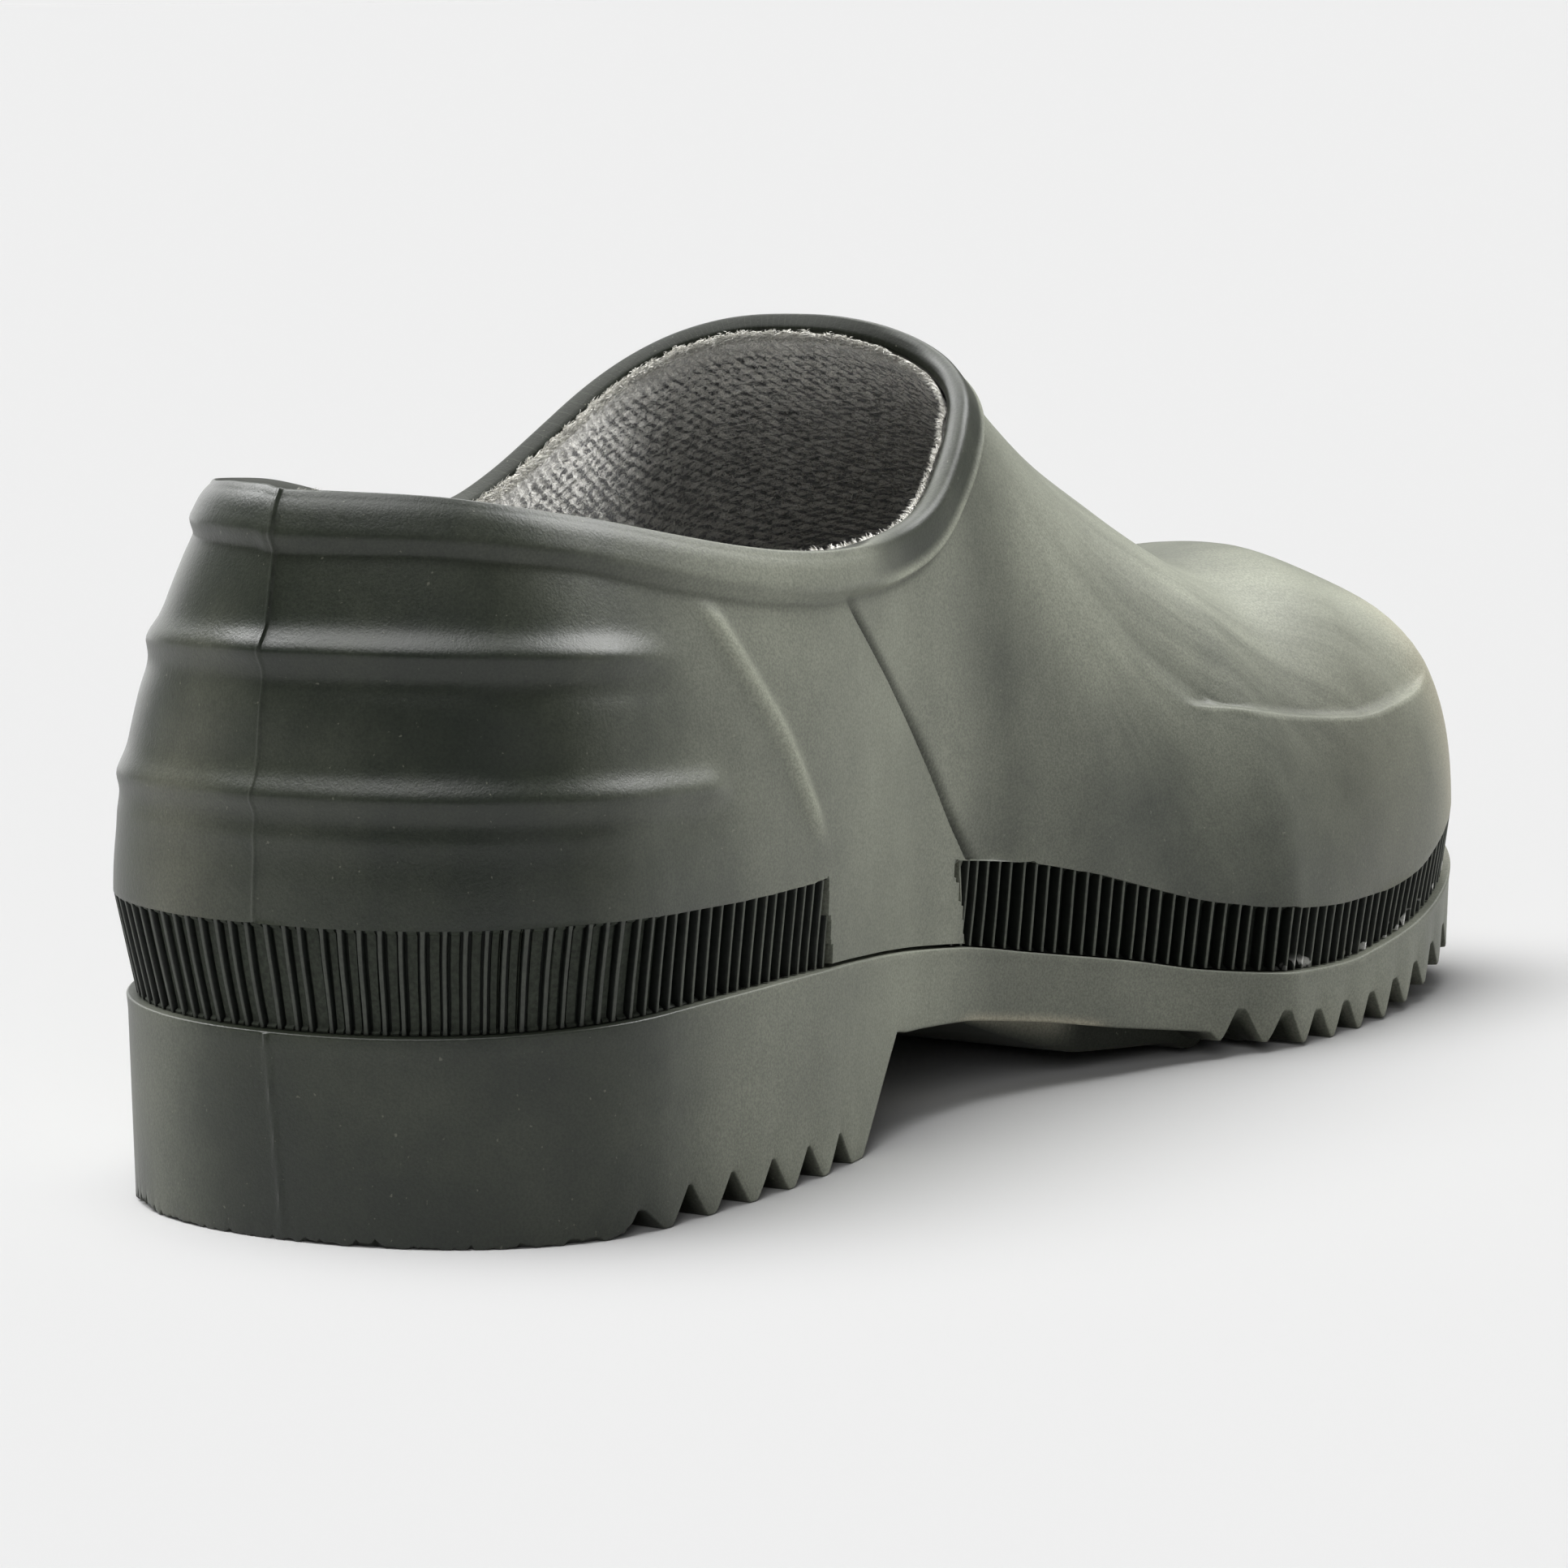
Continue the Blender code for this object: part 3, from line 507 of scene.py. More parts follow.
# Hollow upper: outer wall, rolled collar, inner wall and the waist pads that run down to the ledge
upperSet = {
    # columns are closer at these spots: place or station, width, gain
    "columns": 700, "seamCrowd": (0.6, 1.8, 8.0), "padCrowd": (1.6, 4.0), "sideCrowd": (100.0, 40.0, 0.6),
    "foldCrowd": (220.5, 3.0, 4.0),
    "bodyLevels": 80, "toFold": 24, "foldLevels": 4, "foldStep": 1.4, "bodyEnd": 0.985, "innerLevels": 14,
    # share of the bead's height where the levels of the collar roll lie
    "beadLevels": [1.2, 1.12, 1.06, 1.02, 0.99, 0.96, 0.92, 0.87, 0.80, 0.70, 0.58, 0.46, 0.35, 0.25, 0.16,
                   0.08, 0.0],
    # bearing, height of the collar roll along the wall
    "beadTall": [(0, 7.6), (60, 6.4), (120, 5.8), (138, 5.4), (152, 5.2), (164, 4.4), (184, 4.6), (210, 6.0),
                 (250, 6.5), (300, 6.5), (360, 7.6)],
    "beadEven": 12.0, "beadOut": (1.6, 1.05), "crispFrom": 104.0, "crispTo": 236.0, "crispSpan": 28.0,
    # collar roll: drop of its top, less at the front, over which share; its heel edge; front step and rim
    "beadTop": (0.30, -0.22, 0.4), "heelEdge": (1.10, -0.36), "frontEdge": (1.04, -0.10),
    "frontRim": (0.86, 0.24, 0.93, 0.14),
    # painted shadow under the roll, painted shade on its front face, wear and a painted highlight on its
    # front rim, and less pale bloom on that face
    # share, place as a share of the bead's height, width
    "underBeadShade": (0.25, 1.12, 0.10), "faceShade": (0.22, 0.82, -0.3), "rimWearAndHighlight": (0.22, 0.94, 0.10),
    "faceLessLight": (0.60, 0.85, -0.3),
    # crown at the cut rim and where it is rolled, from and to which bearings; painted shade on the rolled
    # crown, real grime on the cut rim
    "crownTall": (1.2, 1.8), "crownSquare": (0.50, 0.92), "crownLevels": 9, "crownShade": 0.26,
    "rimGrime": 0.86, "rolledFrom": (104.0, 28.0), "rolledTo": (150.0, 42.0),
    "skirtLevels": 18, "lipIn": 3.4, "lipDrop": 0.22, "padGap": 0.6, "padIn": 0.8, "padEdge": 0.45,
    # share of the way down the pad, how far its rear end and its fore end stand off their stations
    "padSteps": [(0.0, -0.7, -2.2), (0.20, -0.7, -2.0), (0.25, -0.6, -0.7), (0.46, -0.5, -0.5),
                 (0.52, 0.7, 0.9), (0.78, 0.8, 1.1), (0.84, 1.5, 1.3), (1.0, 1.6, 1.9)],
    "frontFull": 34.0, "frontEnd": 58.0,
    # heel ridges: height at the back, fall per station, end station, fade, how proud
    "ridges": [(62.4, 0.040, 53.0, 8.0, 1.5), (82.2, 0.072, 48.0, 20.0, 1.7), (57.4, 0.020, 46.0, 22.0, 0.4)],
    "ridgeAbove": 2.7, "ridgeBelow": 1.7, "ridgeUnder": (0.18, -4.2, 2.0), "ridgeLeft": (0.40, 12.0),
    # crest of the side crease and foot of the waist step: height, station
    "creaseLine": [(44.0, 79.0), (49.1, 76.0), (57.3, 71.3), (66.7, 65.7), (73.0, 61.0), (79.7, 56.5),
                   (86.0, 53.0), (92.0, 50.0)],
    "stepLine": [(36.0, 135.5), (41.5, 131.3), (46.4, 127.4), (52.5, 122.9), (60.7, 116.0), (69.1, 107.0),
                 (78.7, 96.6), (83.3, 91.8), (88.0, 87.0)],
    "creaseHeld": (51.0, 7.0, 85.0, 5.0), "stepHeld": (38.0, 4.0, 82.0, 6.0),
    # the crease's crest is painted paler as a highlight, and the foot of the waist step is painted dark as
    # shade
    # across these lines: how high or what share, how far in front of the line, width
    "crease": (0.85, 0.0, 1.7), "trough": (-0.14, -5.0, 3.6), "creaseHighlight": (0.42, -0.2, 1.5),
    "stepIn": 0.70, "stepReach": 8.0, "stepSharp": 0.9, "stepCut": 0.75, "stepShade": (0.85, 0.0, 1.3),
    "facetDeep": 1.0, "facetFrom": 187.5, "facetFull": 193.0, "facetSoft": 0.9, "facetEnd": (262.0, 14.0),
    "facetFade": (4.0, 46.0), "facetLip": (0.13, 0.15, 0.45), "facetWearAndHighlight": 0.20,
    # flatter and fuller places of the vamp and toe: middle, how far each spreads, how far it stands out
    "toeTop": [((260.0, -29.0, 69.0), 17.0, -2.6), ((272.5, -36.0, 57.0), 6.0, 0.5)],
    # parting line at the heel, how it bows, and the half shell that stands back on its right
    "seamLine": (0.16, 0.0, 0.30), "seamBow": (0.9, 44.0, 60.0), "halfStep": 0.42, "halfEdge": (0.1, 0.25),
    "halfEnd": (9.0, -9.0), "halfLeast": 0.30, "halfLow": (80.0, 4.0),
    # nub of the collar's edge left of the parting line: height, and where it starts and ends
    "nubTall": 0.35, "nubFrom": (0.8, 2.5), "nubTo": (-22.0, 10.0),
    "wave": (0.08, 45.0, 3), "uvSkirt": 15.0, "uvCrown": 5.0, "uvScale": 0.01, "smoothTo": 50,
}
# tone of the upper: start and length of each change in mm (negative runs back), and the shares
upperTone = {
    "waist": (12, 62), "waistEnd": (124, 22), "low": (75, -25), "fore": (122, 40),
    "foreDip": (0.62, 208, 44.0), "far": (195, 30), "farLeft": (-32, 22), "top": (30, 40),
    "heelBack": (12, -16), "left": (0, 20), "streakFrom": (145, 50), "streakUp": (40, 30),
    "toe": (258, 26), "toeLow": (78, -22), "foreLow": (190, 60), "heelTan": (6, -8),
    # dust shares: a pale bloom of dust, which at the waist, the fore part, what faces up and the heel's left
    # side also stands in for light
    "dustAndLight": {"all": 0.05, "waist": 0.50, "fore": 0.41, "top": 0.31, "farLoss": 0.75, "heel": 0.13},
    # tan at the toe and on the heel's left side: tan dust and a painted warm rim light
    "uneven": (0.04, 60.0, 11), "streak": (0.10, 0.85), "tanAndRimLight": {"toe": 0.62, "low": 0.07, "heel": 0.10},
    # the far top of the toe, which faces up, is painted in shade
    "farTopShade": 0.50, "rimFrom": (1.0, 4.5),
}


def beadShape(q, crisp):
    # how far the collar roll stands out, q = 0 at the top and 1 at its lower line: a round top over a lower
    # edge that is soft at the heel and, at the front, a raised rim with a crisp step
    cfg = upperSet
    drop, more, share = cfg["beadTop"]
    top = 1 - (drop + more * crisp) * (1 - np.clip(q / share, 0, 1)) ** 2
    face, *rim = cfg["frontRim"]
    step = ramp(q, *cfg["frontEdge"]) * (face + hump(q, *rim))
    return top * (ramp(q, *cfg["heelEdge"]) * (1 - crisp) + step * crisp)


def sideLine(points, table, held):
    # signed distance to a line drawn on the shoe's side by height and station, and its fade at both ends
    place = curveOf(table)
    z = points[..., 2]
    lean = place(z + 0.5) - place(z - 0.5)
    off = (points[..., 0] - place(z)) / np.sqrt(1 + lean ** 2)
    low, lowSpan, high, highSpan = held
    return off, ease((z - low) / lowSpan + 0.5) * ease((high - z) / highSpan + 0.5)


def rolledRidge(v):
    # a roll over a shallow groove: a hump wider above its crest than below, less a second one under it
    cfg = upperSet
    return bell(v, np.where(v > 0, cfg["ridgeAbove"], cfg["ridgeBelow"])) - hump(v, *cfg["ridgeUnder"])


def upperRelief(grid, at, foldX, *columns):
    # millimetres along the normal: heel ridges, side crease, waist step, toe facet, collar roll, parting
    # line; the shares of painted shade in and under these lines, of wear and painted highlight on them, and
    # of the pale bloom kept on the collar's face
    cfg = upperSet
    fold, foldSlant, total, crisp, front, beadTall, fromSeam = [column[:, None] for column in columns]
    x, y, z = [grid[..., c] for c in range(3)]
    proud = ripple(grid, *cfg["wave"])
    lost, over = cfg["ridgeLeft"]
    for tall, fall, end, fade, height in cfg["ridges"]:
        held = ramp(x, end, -fade) * (1 - front) * (1 - lost * ease(y / over))
        proud += height * rolledRidge(z - (tall - fall * x)) * held
    off, held = sideLine(grid, cfg["creaseLine"], cfg["creaseHeld"])
    proud += held * (hump(off, *cfg["crease"]) + hump(off, *cfg["trough"]))
    # the crease's crest is painted paler as a highlight
    wearAndHighlight = held * hump(off, *cfg["creaseHighlight"])
    off, held = sideLine(grid, cfg["stepLine"], cfg["stepHeld"])
    proud -= cfg["stepIn"] * held * bell(off, np.where(off < 0, cfg["stepSharp"], cfg["stepReach"]))
    proud -= cfg["stepCut"] * held * bell(off, cfg["stepSharp"])
    # painted shade along the foot of the waist step
    grimeAndShade = held * hump(off, *cfg["stepShade"])
    for middle, spread, height in cfg["toeTop"]:
        proud += height * bell(np.linalg.norm(grid - np.array(middle), axis=-1), spread)

    # toe facet: a step measured square to its fold, with a thin lip, paler with wear and a painted highlight
    above = at - fold
    square = above * foldSlant
    soft = cfg["facetFull"] - cfg["facetFrom"] + cfg["facetSoft"] * np.clip(above, 0, None)
    held = front * ramp(foldX, cfg["facetFrom"], soft) * (1 - ramp(foldX, *cfg["facetEnd"]))
    proud -= cfg["facetDeep"] * held * ease(square / cfg["foldStep"]) * (1 - ramp(above, *cfg["facetFade"]))
    tall, below, wide = cfg["facetLip"]
    lip = held * bell(square + below, wide)
    proud += tall * lip
    wearAndHighlight = wearAndHighlight + cfg["facetWearAndHighlight"] * lip

    # collar roll
    q = (total - at) / beadTall
    heelOut, frontOut = cfg["beadOut"]
    proud += (heelOut + (frontOut - heelOut) * crisp) * beadShape(q, crisp)
    # painted shadow under the roll's lower line and painted shade on its front face; wear and a painted
    # highlight along the front rim
    share, *ends = cfg["faceShade"]
    grimeAndShade = grimeAndShade + hump(q, *cfg["underBeadShade"]) + share * crisp * ramp(q, *ends)
    wearAndHighlight = wearAndHighlight + crisp * hump(q, *cfg["rimWearAndHighlight"])
    # less pale bloom on the front face, painted darker as shade
    share, *ends = cfg["faceLessLight"]
    dustAndLightKept = 1 - share * crisp * ramp(q, *ends)

    # parting line
    aside, low, tall = cfg["seamBow"]
    fromSeam = fromSeam - aside * np.sin(np.pi * np.clip((z - low) / tall, 0, 1))
    proud += hump(fromSeam, *cfg["seamLine"])
    right = ramp(fromSeam, *cfg["halfEdge"]) * ramp(fromSeam, *cfg["halfEnd"])
    least = cfg["halfLeast"]
    proud = proud - cfg["halfStep"] * right * (least + (1 - least) * ramp(z, *cfg["halfLow"]))
    return proud, grimeAndShade, wearAndHighlight, dustAndLightKept


def makeUpper(material):
    # columns set along the lower edge, each a closed loop: under the lip, up the skirt and the outer wall,
    # over the crown and down the inner wall
    cfg = upperSet
    line = upperLine
    padEnds = {side: sorted(float(outlineAlong(line, lastForm[k], side)) for k in ("padFrom", "padTo"))
               for side in (-1, 1)}
    spots = [cfg["seamCrowd"]] + [(at, *cfg["padCrowd"]) for ends in padEnds.values() for at in ends]
    spots += [(float(outlineAlong(line, station, side)), wide, gain) for (station, wide, gain), side in
              ((cfg["sideCrowd"], -1), (cfg["sideCrowd"], 1), (cfg["foldCrowd"], -1))]
    stops = crowdedStops(line["total"], cfg["columns"], spots)
    plan = outlineAt(line, stops)
    fromSeam = fromHeel(line, stops)
    nub = cfg["nubTall"] * ramp(-fromSeam, *cfg["nubFrom"]) * ramp(fromSeam, *cfg["nubTo"])
    bearing, paths, run = domePaths(plan, nub)
    total = run[:, -1]
    beadTall = closedCurve(cfg["beadTall"], cfg["beadEven"])(bearing)
    front = 1 - ramp(np.abs(bearing - 180), cfg["frontFull"], cfg["frontEnd"] - cfg["frontFull"])

    # levels: evenly up the heel; at the front they meet the facet's fold
    over = paths[..., 2] - facetHeight(paths[..., 0])
    row = np.arange(len(plan))
    hit = np.argmax(over >= 0, axis=1)
    low = np.maximum(hit - 1, 0)
    share = over[row, low] / np.minimum(over[row, low] - over[row, hit], -1e-9)
    fold = np.where(hit > 0, run[row, low] + (run[row, hit] - run[row, low]) * share, total / 3)
    bead = total - beadTall * cfg["beadLevels"][0]
    heelAt = bead[:, None] * np.linspace(0, 1, cfg["bodyLevels"], endpoint=False)
    steps = np.arange(1, cfg["foldLevels"] + 1) / cfg["foldLevels"] * cfg["foldStep"]
    rest = np.linspace(0, 1, cfg["bodyLevels"] - cfg["toFold"] - cfg["foldLevels"] + 1)[1:]
    past = fold + cfg["foldStep"]
    foreAt = np.c_[fold[:, None] * np.linspace(0, 1, cfg["toFold"]), fold[:, None] + steps,
                   past[:, None] + (bead - past)[:, None] * rest * cfg["bodyEnd"]]
    at = heelAt * (1 - front)[:, None] + foreAt * front[:, None]
    at = np.c_[at, total[:, None] - beadTall[:, None] * np.array(cfg["beadLevels"])]
    grid = pathAt(paths, run, at)
    normal = gridNormals(grid)

    # sine of the angle between the fold and the path that crosses it
    onFold = grid[:, cfg["toFold"] - 1]
    foldWay = np.roll(onFold, -1, axis=0) - np.roll(onFold, 1, axis=0)
    pathWay = grid[:, cfg["toFold"]] - onFold
    foldSlant = np.linalg.norm(np.cross(unit(foldWay), unit(pathWay)), axis=1)
    crisp = ramp(bearing, cfg["crispFrom"], cfg["crispSpan"])
    crisp = crisp * (1 - ramp(bearing, cfg["crispTo"], cfg["crispSpan"]))
    proud, grimeAndShade, wearAndHighlight, dustAndLightKept = upperRelief(grid, at, onFold[:, :1], fold, foldSlant, total, crisp, front,
                                            beadTall, fromSeam)
    outer = grid + normal * proud[..., None]

    # crown: half an ellipse from the outer edge over to the inner wall, squared where the rim is cut
    inner0 = grid[:, -1] - normal[:, -1] * wall
    along = unit(grid[:, -1] - grid[:, -2])
    a = np.linspace(0, np.pi, cfg["crownLevels"] + 2)[1:-1]
    rolled = ramp(bearing, *cfg["rolledFrom"]) * (1 - ramp(bearing, *cfg["rolledTo"]))
    square, crownTall = [(cut + (roll - cut) * rolled)[:, None]
                         for cut, roll in (cfg["crownSquare"], cfg["crownTall"])]
    middle, reach = (outer[:, -1] + inner0) / 2, (outer[:, -1] - inner0) / 2
    crown = middle[:, None] + reach[:, None] * signedPower(np.cos(a), square)[..., None]
    crown = crown + along[:, None] * (crownTall * np.sin(a) ** square)[..., None]

    # inner wall: the plain form moved in by the wall's thickness
    picks = np.linspace(at.shape[1] - 1, 0, cfg["innerLevels"]).round().astype(int)
    inner = grid[:, picks] - normal[:, picks] * wall
    inner[:, -1, 2] = grid[:, 0, 2]

    # skirt: the lip turned under, or the pad that runs down to the ledge between two stepped ends
    t = np.linspace(0, 1, cfg["skirtLevels"] + 1)[1:]
    foot, floorZ = grid[:, 0, 2], ledgeHeight(plan[:, 0]) + cfg["padGap"]
    share, rearOff, foreOff = np.array(cfg["padSteps"]).T
    rear, fore = np.interp(t, share, rearOff), np.interp(t, share, foreOff)
    onPad = np.zeros((len(plan), len(t)), bool)
    behind = np.zeros_like(onPad)
    for side, (s0, s1) in padEnds.items():
        # along the outline the right side runs forward and the left side runs back
        a0, a1 = (s0 + rear, s1 + fore) if side < 0 else (s0 - fore, s1 - rear)
        onPad |= (stops[:, None] > a0) & (stops[:, None] < a1)
        behind |= (stops[:, None] > a0 - cfg["padEdge"]) & (stops[:, None] < a1 + cfg["padEdge"])
    behind &= ~onPad
    down = foot[:, None] + (floorZ - foot)[:, None] * t
    lip = np.broadcast_to((foot - cfg["lipDrop"])[:, None], down.shape)
    level = np.where(onPad | behind, down, lip)
    inset = np.where(onPad, cfg["padIn"] * t, np.where(behind, cfg["lipIn"], cfg["lipIn"] * t ** 2))
    skirt = lifted(outlineAt(line, np.repeat(stops[:, None], len(t), 1), inset), level)
    under = np.c_[outlineAt(line, stops, cfg["lipIn"]), level[:, -1]]

    loop = np.concatenate([under[:, None], skirt[:, ::-1], outer, crown, inner], 1)
    points = loop.reshape(-1, 3)
    faces, cc, kk = facedOut(points, *gridFaces(len(plan), loop.shape[1], True, True))

    # UV in decimetres: round the lower edge, and up along the wall
    skirtRun, crownRun = cfg["uvSkirt"], cfg["uvCrown"]
    up = np.c_[np.full(len(plan), -skirtRun - 1), np.broadcast_to(-skirtRun * t[::-1], skirt.shape[:2]), at,
               total[:, None] + np.linspace(0.5, crownRun, cfg["crownLevels"]),
               total[:, None] + crownRun + 1 + np.linspace(0, 1, cfg["innerLevels"]) * total[:, None]]
    up = np.c_[up, up[:, -1] + crownRun]
    up = np.r_[up, up[:1]]
    uv = np.stack([np.r_[stops, line["total"]][cc], up[cc, kk]], -1) * cfg["uvScale"]

    first = 1 + len(t)
    onWall = slice(first, first + at.shape[1])
    onCrown = slice(onWall.stop, onWall.stop + cfg["crownLevels"])
    layers = upperLayers(loop, normal, onWall, onCrown, rolled[:, None])
    layers["grimeAndShade"][:, onWall] += grimeAndShade
    # the skirt just beside the pads' ends is painted black as shade in the recess
    layers["grimeAndShade"][:, 1:first] = behind[:, ::-1]
    # painted shade on the rolled crown; real grime on the cut rim
    layers["grimeAndShade"][:, onCrown] += cfg["crownShade"] * rolled[:, None]
    layers["grimeAndShade"] += cfg["rimGrime"] * layers["rim"]
    layers["dustAndLight"][:, onWall] = layers["dustAndLight"][:, onWall] * dustAndLightKept + wearAndHighlight
    layers["dustAndLight"][:, onCrown] *= dustAndLightKept[:, -1:]
    return makePiece("upper_shell", points, faces, material, [uv], layers, cfg["smoothTo"])


def upperLayers(loop, normal, onWall, onCrown, rolled):
    # where the surface is pale, streaked, painted darker, tan or a cut rim, as sums of eased shares along,
    # across and
    # up the shoe: a pale bloom of dust and painted light lies at the waist, on the fore part and on what
    # faces up
    tone, shareOf = upperTone, upperTone["dustAndLight"]
    x, y, z = [loop[..., c] for c in range(3)]
    upFacing, rim = np.zeros(loop.shape[:2]), np.zeros(loop.shape[:2])
    upFacing[:, onWall] = np.clip(normal[..., 2], 0, 1)
    waist = ramp(x, *tone["waist"]) * (1 - ramp(x, *tone["waistEnd"]))
    low = ramp(z, *tone["low"])
    fore = ramp(x, *tone["fore"]) * (1 - low * hump(x, *tone["foreDip"]))
    farTop = ramp(x, *tone["far"]) * ramp(y, *tone["farLeft"])
    left = ramp(y, *tone["left"])
    dustAndLight = shareOf["all"] + shareOf["waist"] * waist + shareOf["fore"] * fore
    dustAndLight = dustAndLight + shareOf["top"] * upFacing * ramp(x, *tone["top"]) * (1 - shareOf["farLoss"] * farTop)
    dustAndLight = dustAndLight + shareOf["heel"] * ramp(x, *tone["heelBack"]) * left + ripple(loop, *tone["uneven"])
    least, more = tone["streak"]
    streak = least + more * ramp(x, *tone["streakFrom"]) * ramp(z, *tone["streakUp"])
    tanAndRimLight = tone["tanAndRimLight"]["toe"] * ramp(x, *tone["toe"]) * ramp(z, *tone["toeLow"])
    tanAndRimLight = tanAndRimLight + tone["tanAndRimLight"]["low"] * low * ramp(x, *tone["foreLow"])
    tanAndRimLight = tanAndRimLight + tone["tanAndRimLight"]["heel"] * ramp(x, *tone["heelTan"]) * left
    # the cut rim starts near the outer edge, and where the collar is rolled only past the crown
    near, later = tone["rimFrom"]
    rim[:, onCrown] = ease(np.arange(upperSet["crownLevels"]) - near - later * rolled)
    # painted shade on the far top of the toe, where it faces up
    grimeAndShade = tone["farTopShade"] * farTop * upFacing
    return {"dustAndLight": dustAndLight, "grimeAndShade": grimeAndShade, "streak": streak, "tanAndRimLight": tanAndRimLight, "rim": rim}


upperShell = makeUpper(pvcMaterial("olive_pvc_upper", True))
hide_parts("upper")

# Side band: thin upright fins on a bed, all round between ledge and upper, leaning out toward the top
bandSet = {
    "heelFins": 38, "foreFins": 64, "levels": 18, "levelCrowd": 0.11, "gap": 0.18, "padColumns": 12,
    "padIn": 3.4, "backIn": 6.5, "underPad": 1.9, "footIn": 1.25, "headIn": 0.30, "smoothTo": 35,
    "finDeep": (0.75, 1.85), "deepFrom": (12.0, 48.0), "gutterDeep": 0.30,
    # fillets at the fins' feet and heads, and the most of the fins' depth that they fill
    "toeTall": 0.75, "toeOut": 1.1, "headTall": 0.7, "headOut": 1.0, "filletMost": 0.75,
    # how far fins are moved, as a share of the pitch, and how thick they are; their lean: mm, wave, seed
    "shiftBy": 0.05, "thick": (1.05, 1.30), "seed": 21, "lean": (0.14, 30.0, 8), "leanUp": 25.0,
    # how far the fins' heads stand forward of their feet on the right of the heel: most, where, spread
    "upright": (0.9, 22.0, 20.0),
    # fin tips are paler with wear and a painted highlight, less so at the heel; the bed shows at the heel,
    # and forward it, the gutters and the fins' sides are painted dark as shade
    "heelShine": 0.35, "shineFrom": (14, 44), "bedNarrow": 1.6, "bedFore": 0.22, "bedFrom": (62, -50),
    "tipFrom": 0.9, "tipTone": 0.6, "crumbLow": (2.2, -0.8), "crumbFrom": (200.0, 12),
    # share of the pitch, height above the bed: 1 at a fin's tip, below 0 in the gutters at its foot
    "fin": [(0.0, 0.0), (0.16, 0.0), (0.25, -0.05), (0.285, -1.0), (0.375, -1.0), (0.395, 0.75),
            (0.42, 0.96), (0.46, 1.0), (0.54, 1.0), (0.58, 0.96), (0.605, 0.75), (0.625, -1.0),
            (0.715, -1.0), (0.75, -0.05), (0.84, 0.0)],
    # dark: painted shade in the gutters, on the fins' sides, under the pads and on the bed forward
    "paintedShade": (0.0085, 0.0105, 0.0085, 1), "bed": (0.0390, 0.0450, 0.0345, 1), "tip": (0.068, 0.077, 0.056, 1),
    "speck": (0.75, 0.75, 0.72, 1),
    "grain": (1400.0, 3.0, 0.6), "patch": (150.0, 3.0, 0.6), "bits": (240.0, 2.0),
    "tipWorn": (0.93, 1.0), "patchWorn": (0.25, 0.6, 0.45, 1.0), "bitsCut": (0.575, 0.60),
    "grainTone": (0.3, 0.7, 0.75, 1.25), "rough": (0.2, 0.42), "gloss": (0.0, 1.0, 0.12, 0.5),
    "bump": (0.15, 0.0002),
}


def bandMaterial():
    cfg = bandSet
    material, tree, shader = startMaterial("dark_fin_band")
    where = objectPlace(tree)
    grain, patch, bits = [noiseOf(tree, where, *cfg[k]) for k in ("grain", "patch", "bits")]
    tip = layerOf(tree, "tip")
    # tips paler with wear and a painted highlight
    wearAndHighlight = calc(tree, "MULTIPLY", ranged(tree, tip, *cfg["tipWorn"]), ranged(tree, patch, *cfg["patchWorn"]))
    wearAndHighlight = calc(tree, "MULTIPLY", wearAndHighlight, layerOf(tree, "shine"))
    # painted shade in the gutters, on the fins' sides and on the bed forward
    colour = blended(tree, layerOf(tree, "bed"), cfg["paintedShade"], cfg["bed"])
    colour = blended(tree, wearAndHighlight, colour, cfg["tip"])
    crumbs = calc(tree, "MULTIPLY", ranged(tree, bits, *cfg["bitsCut"]), layerOf(tree, "crumb"))
    colour = blended(tree, crumbs, colour, cfg["speck"])
    colour = blended(tree, 1.0, colour, ranged(tree, grain, *cfg["grainTone"]), "MULTIPLY")
    feed(tree, shader, {
        "Base Color": colour, "Roughness": calc(tree, "MULTIPLY_ADD", grain, *cfg["rough"]),
        "Specular IOR Level": ranged(tree, tip, *cfg["gloss"]), "Normal": bumped(tree, grain, *cfg["bump"])})
    return material


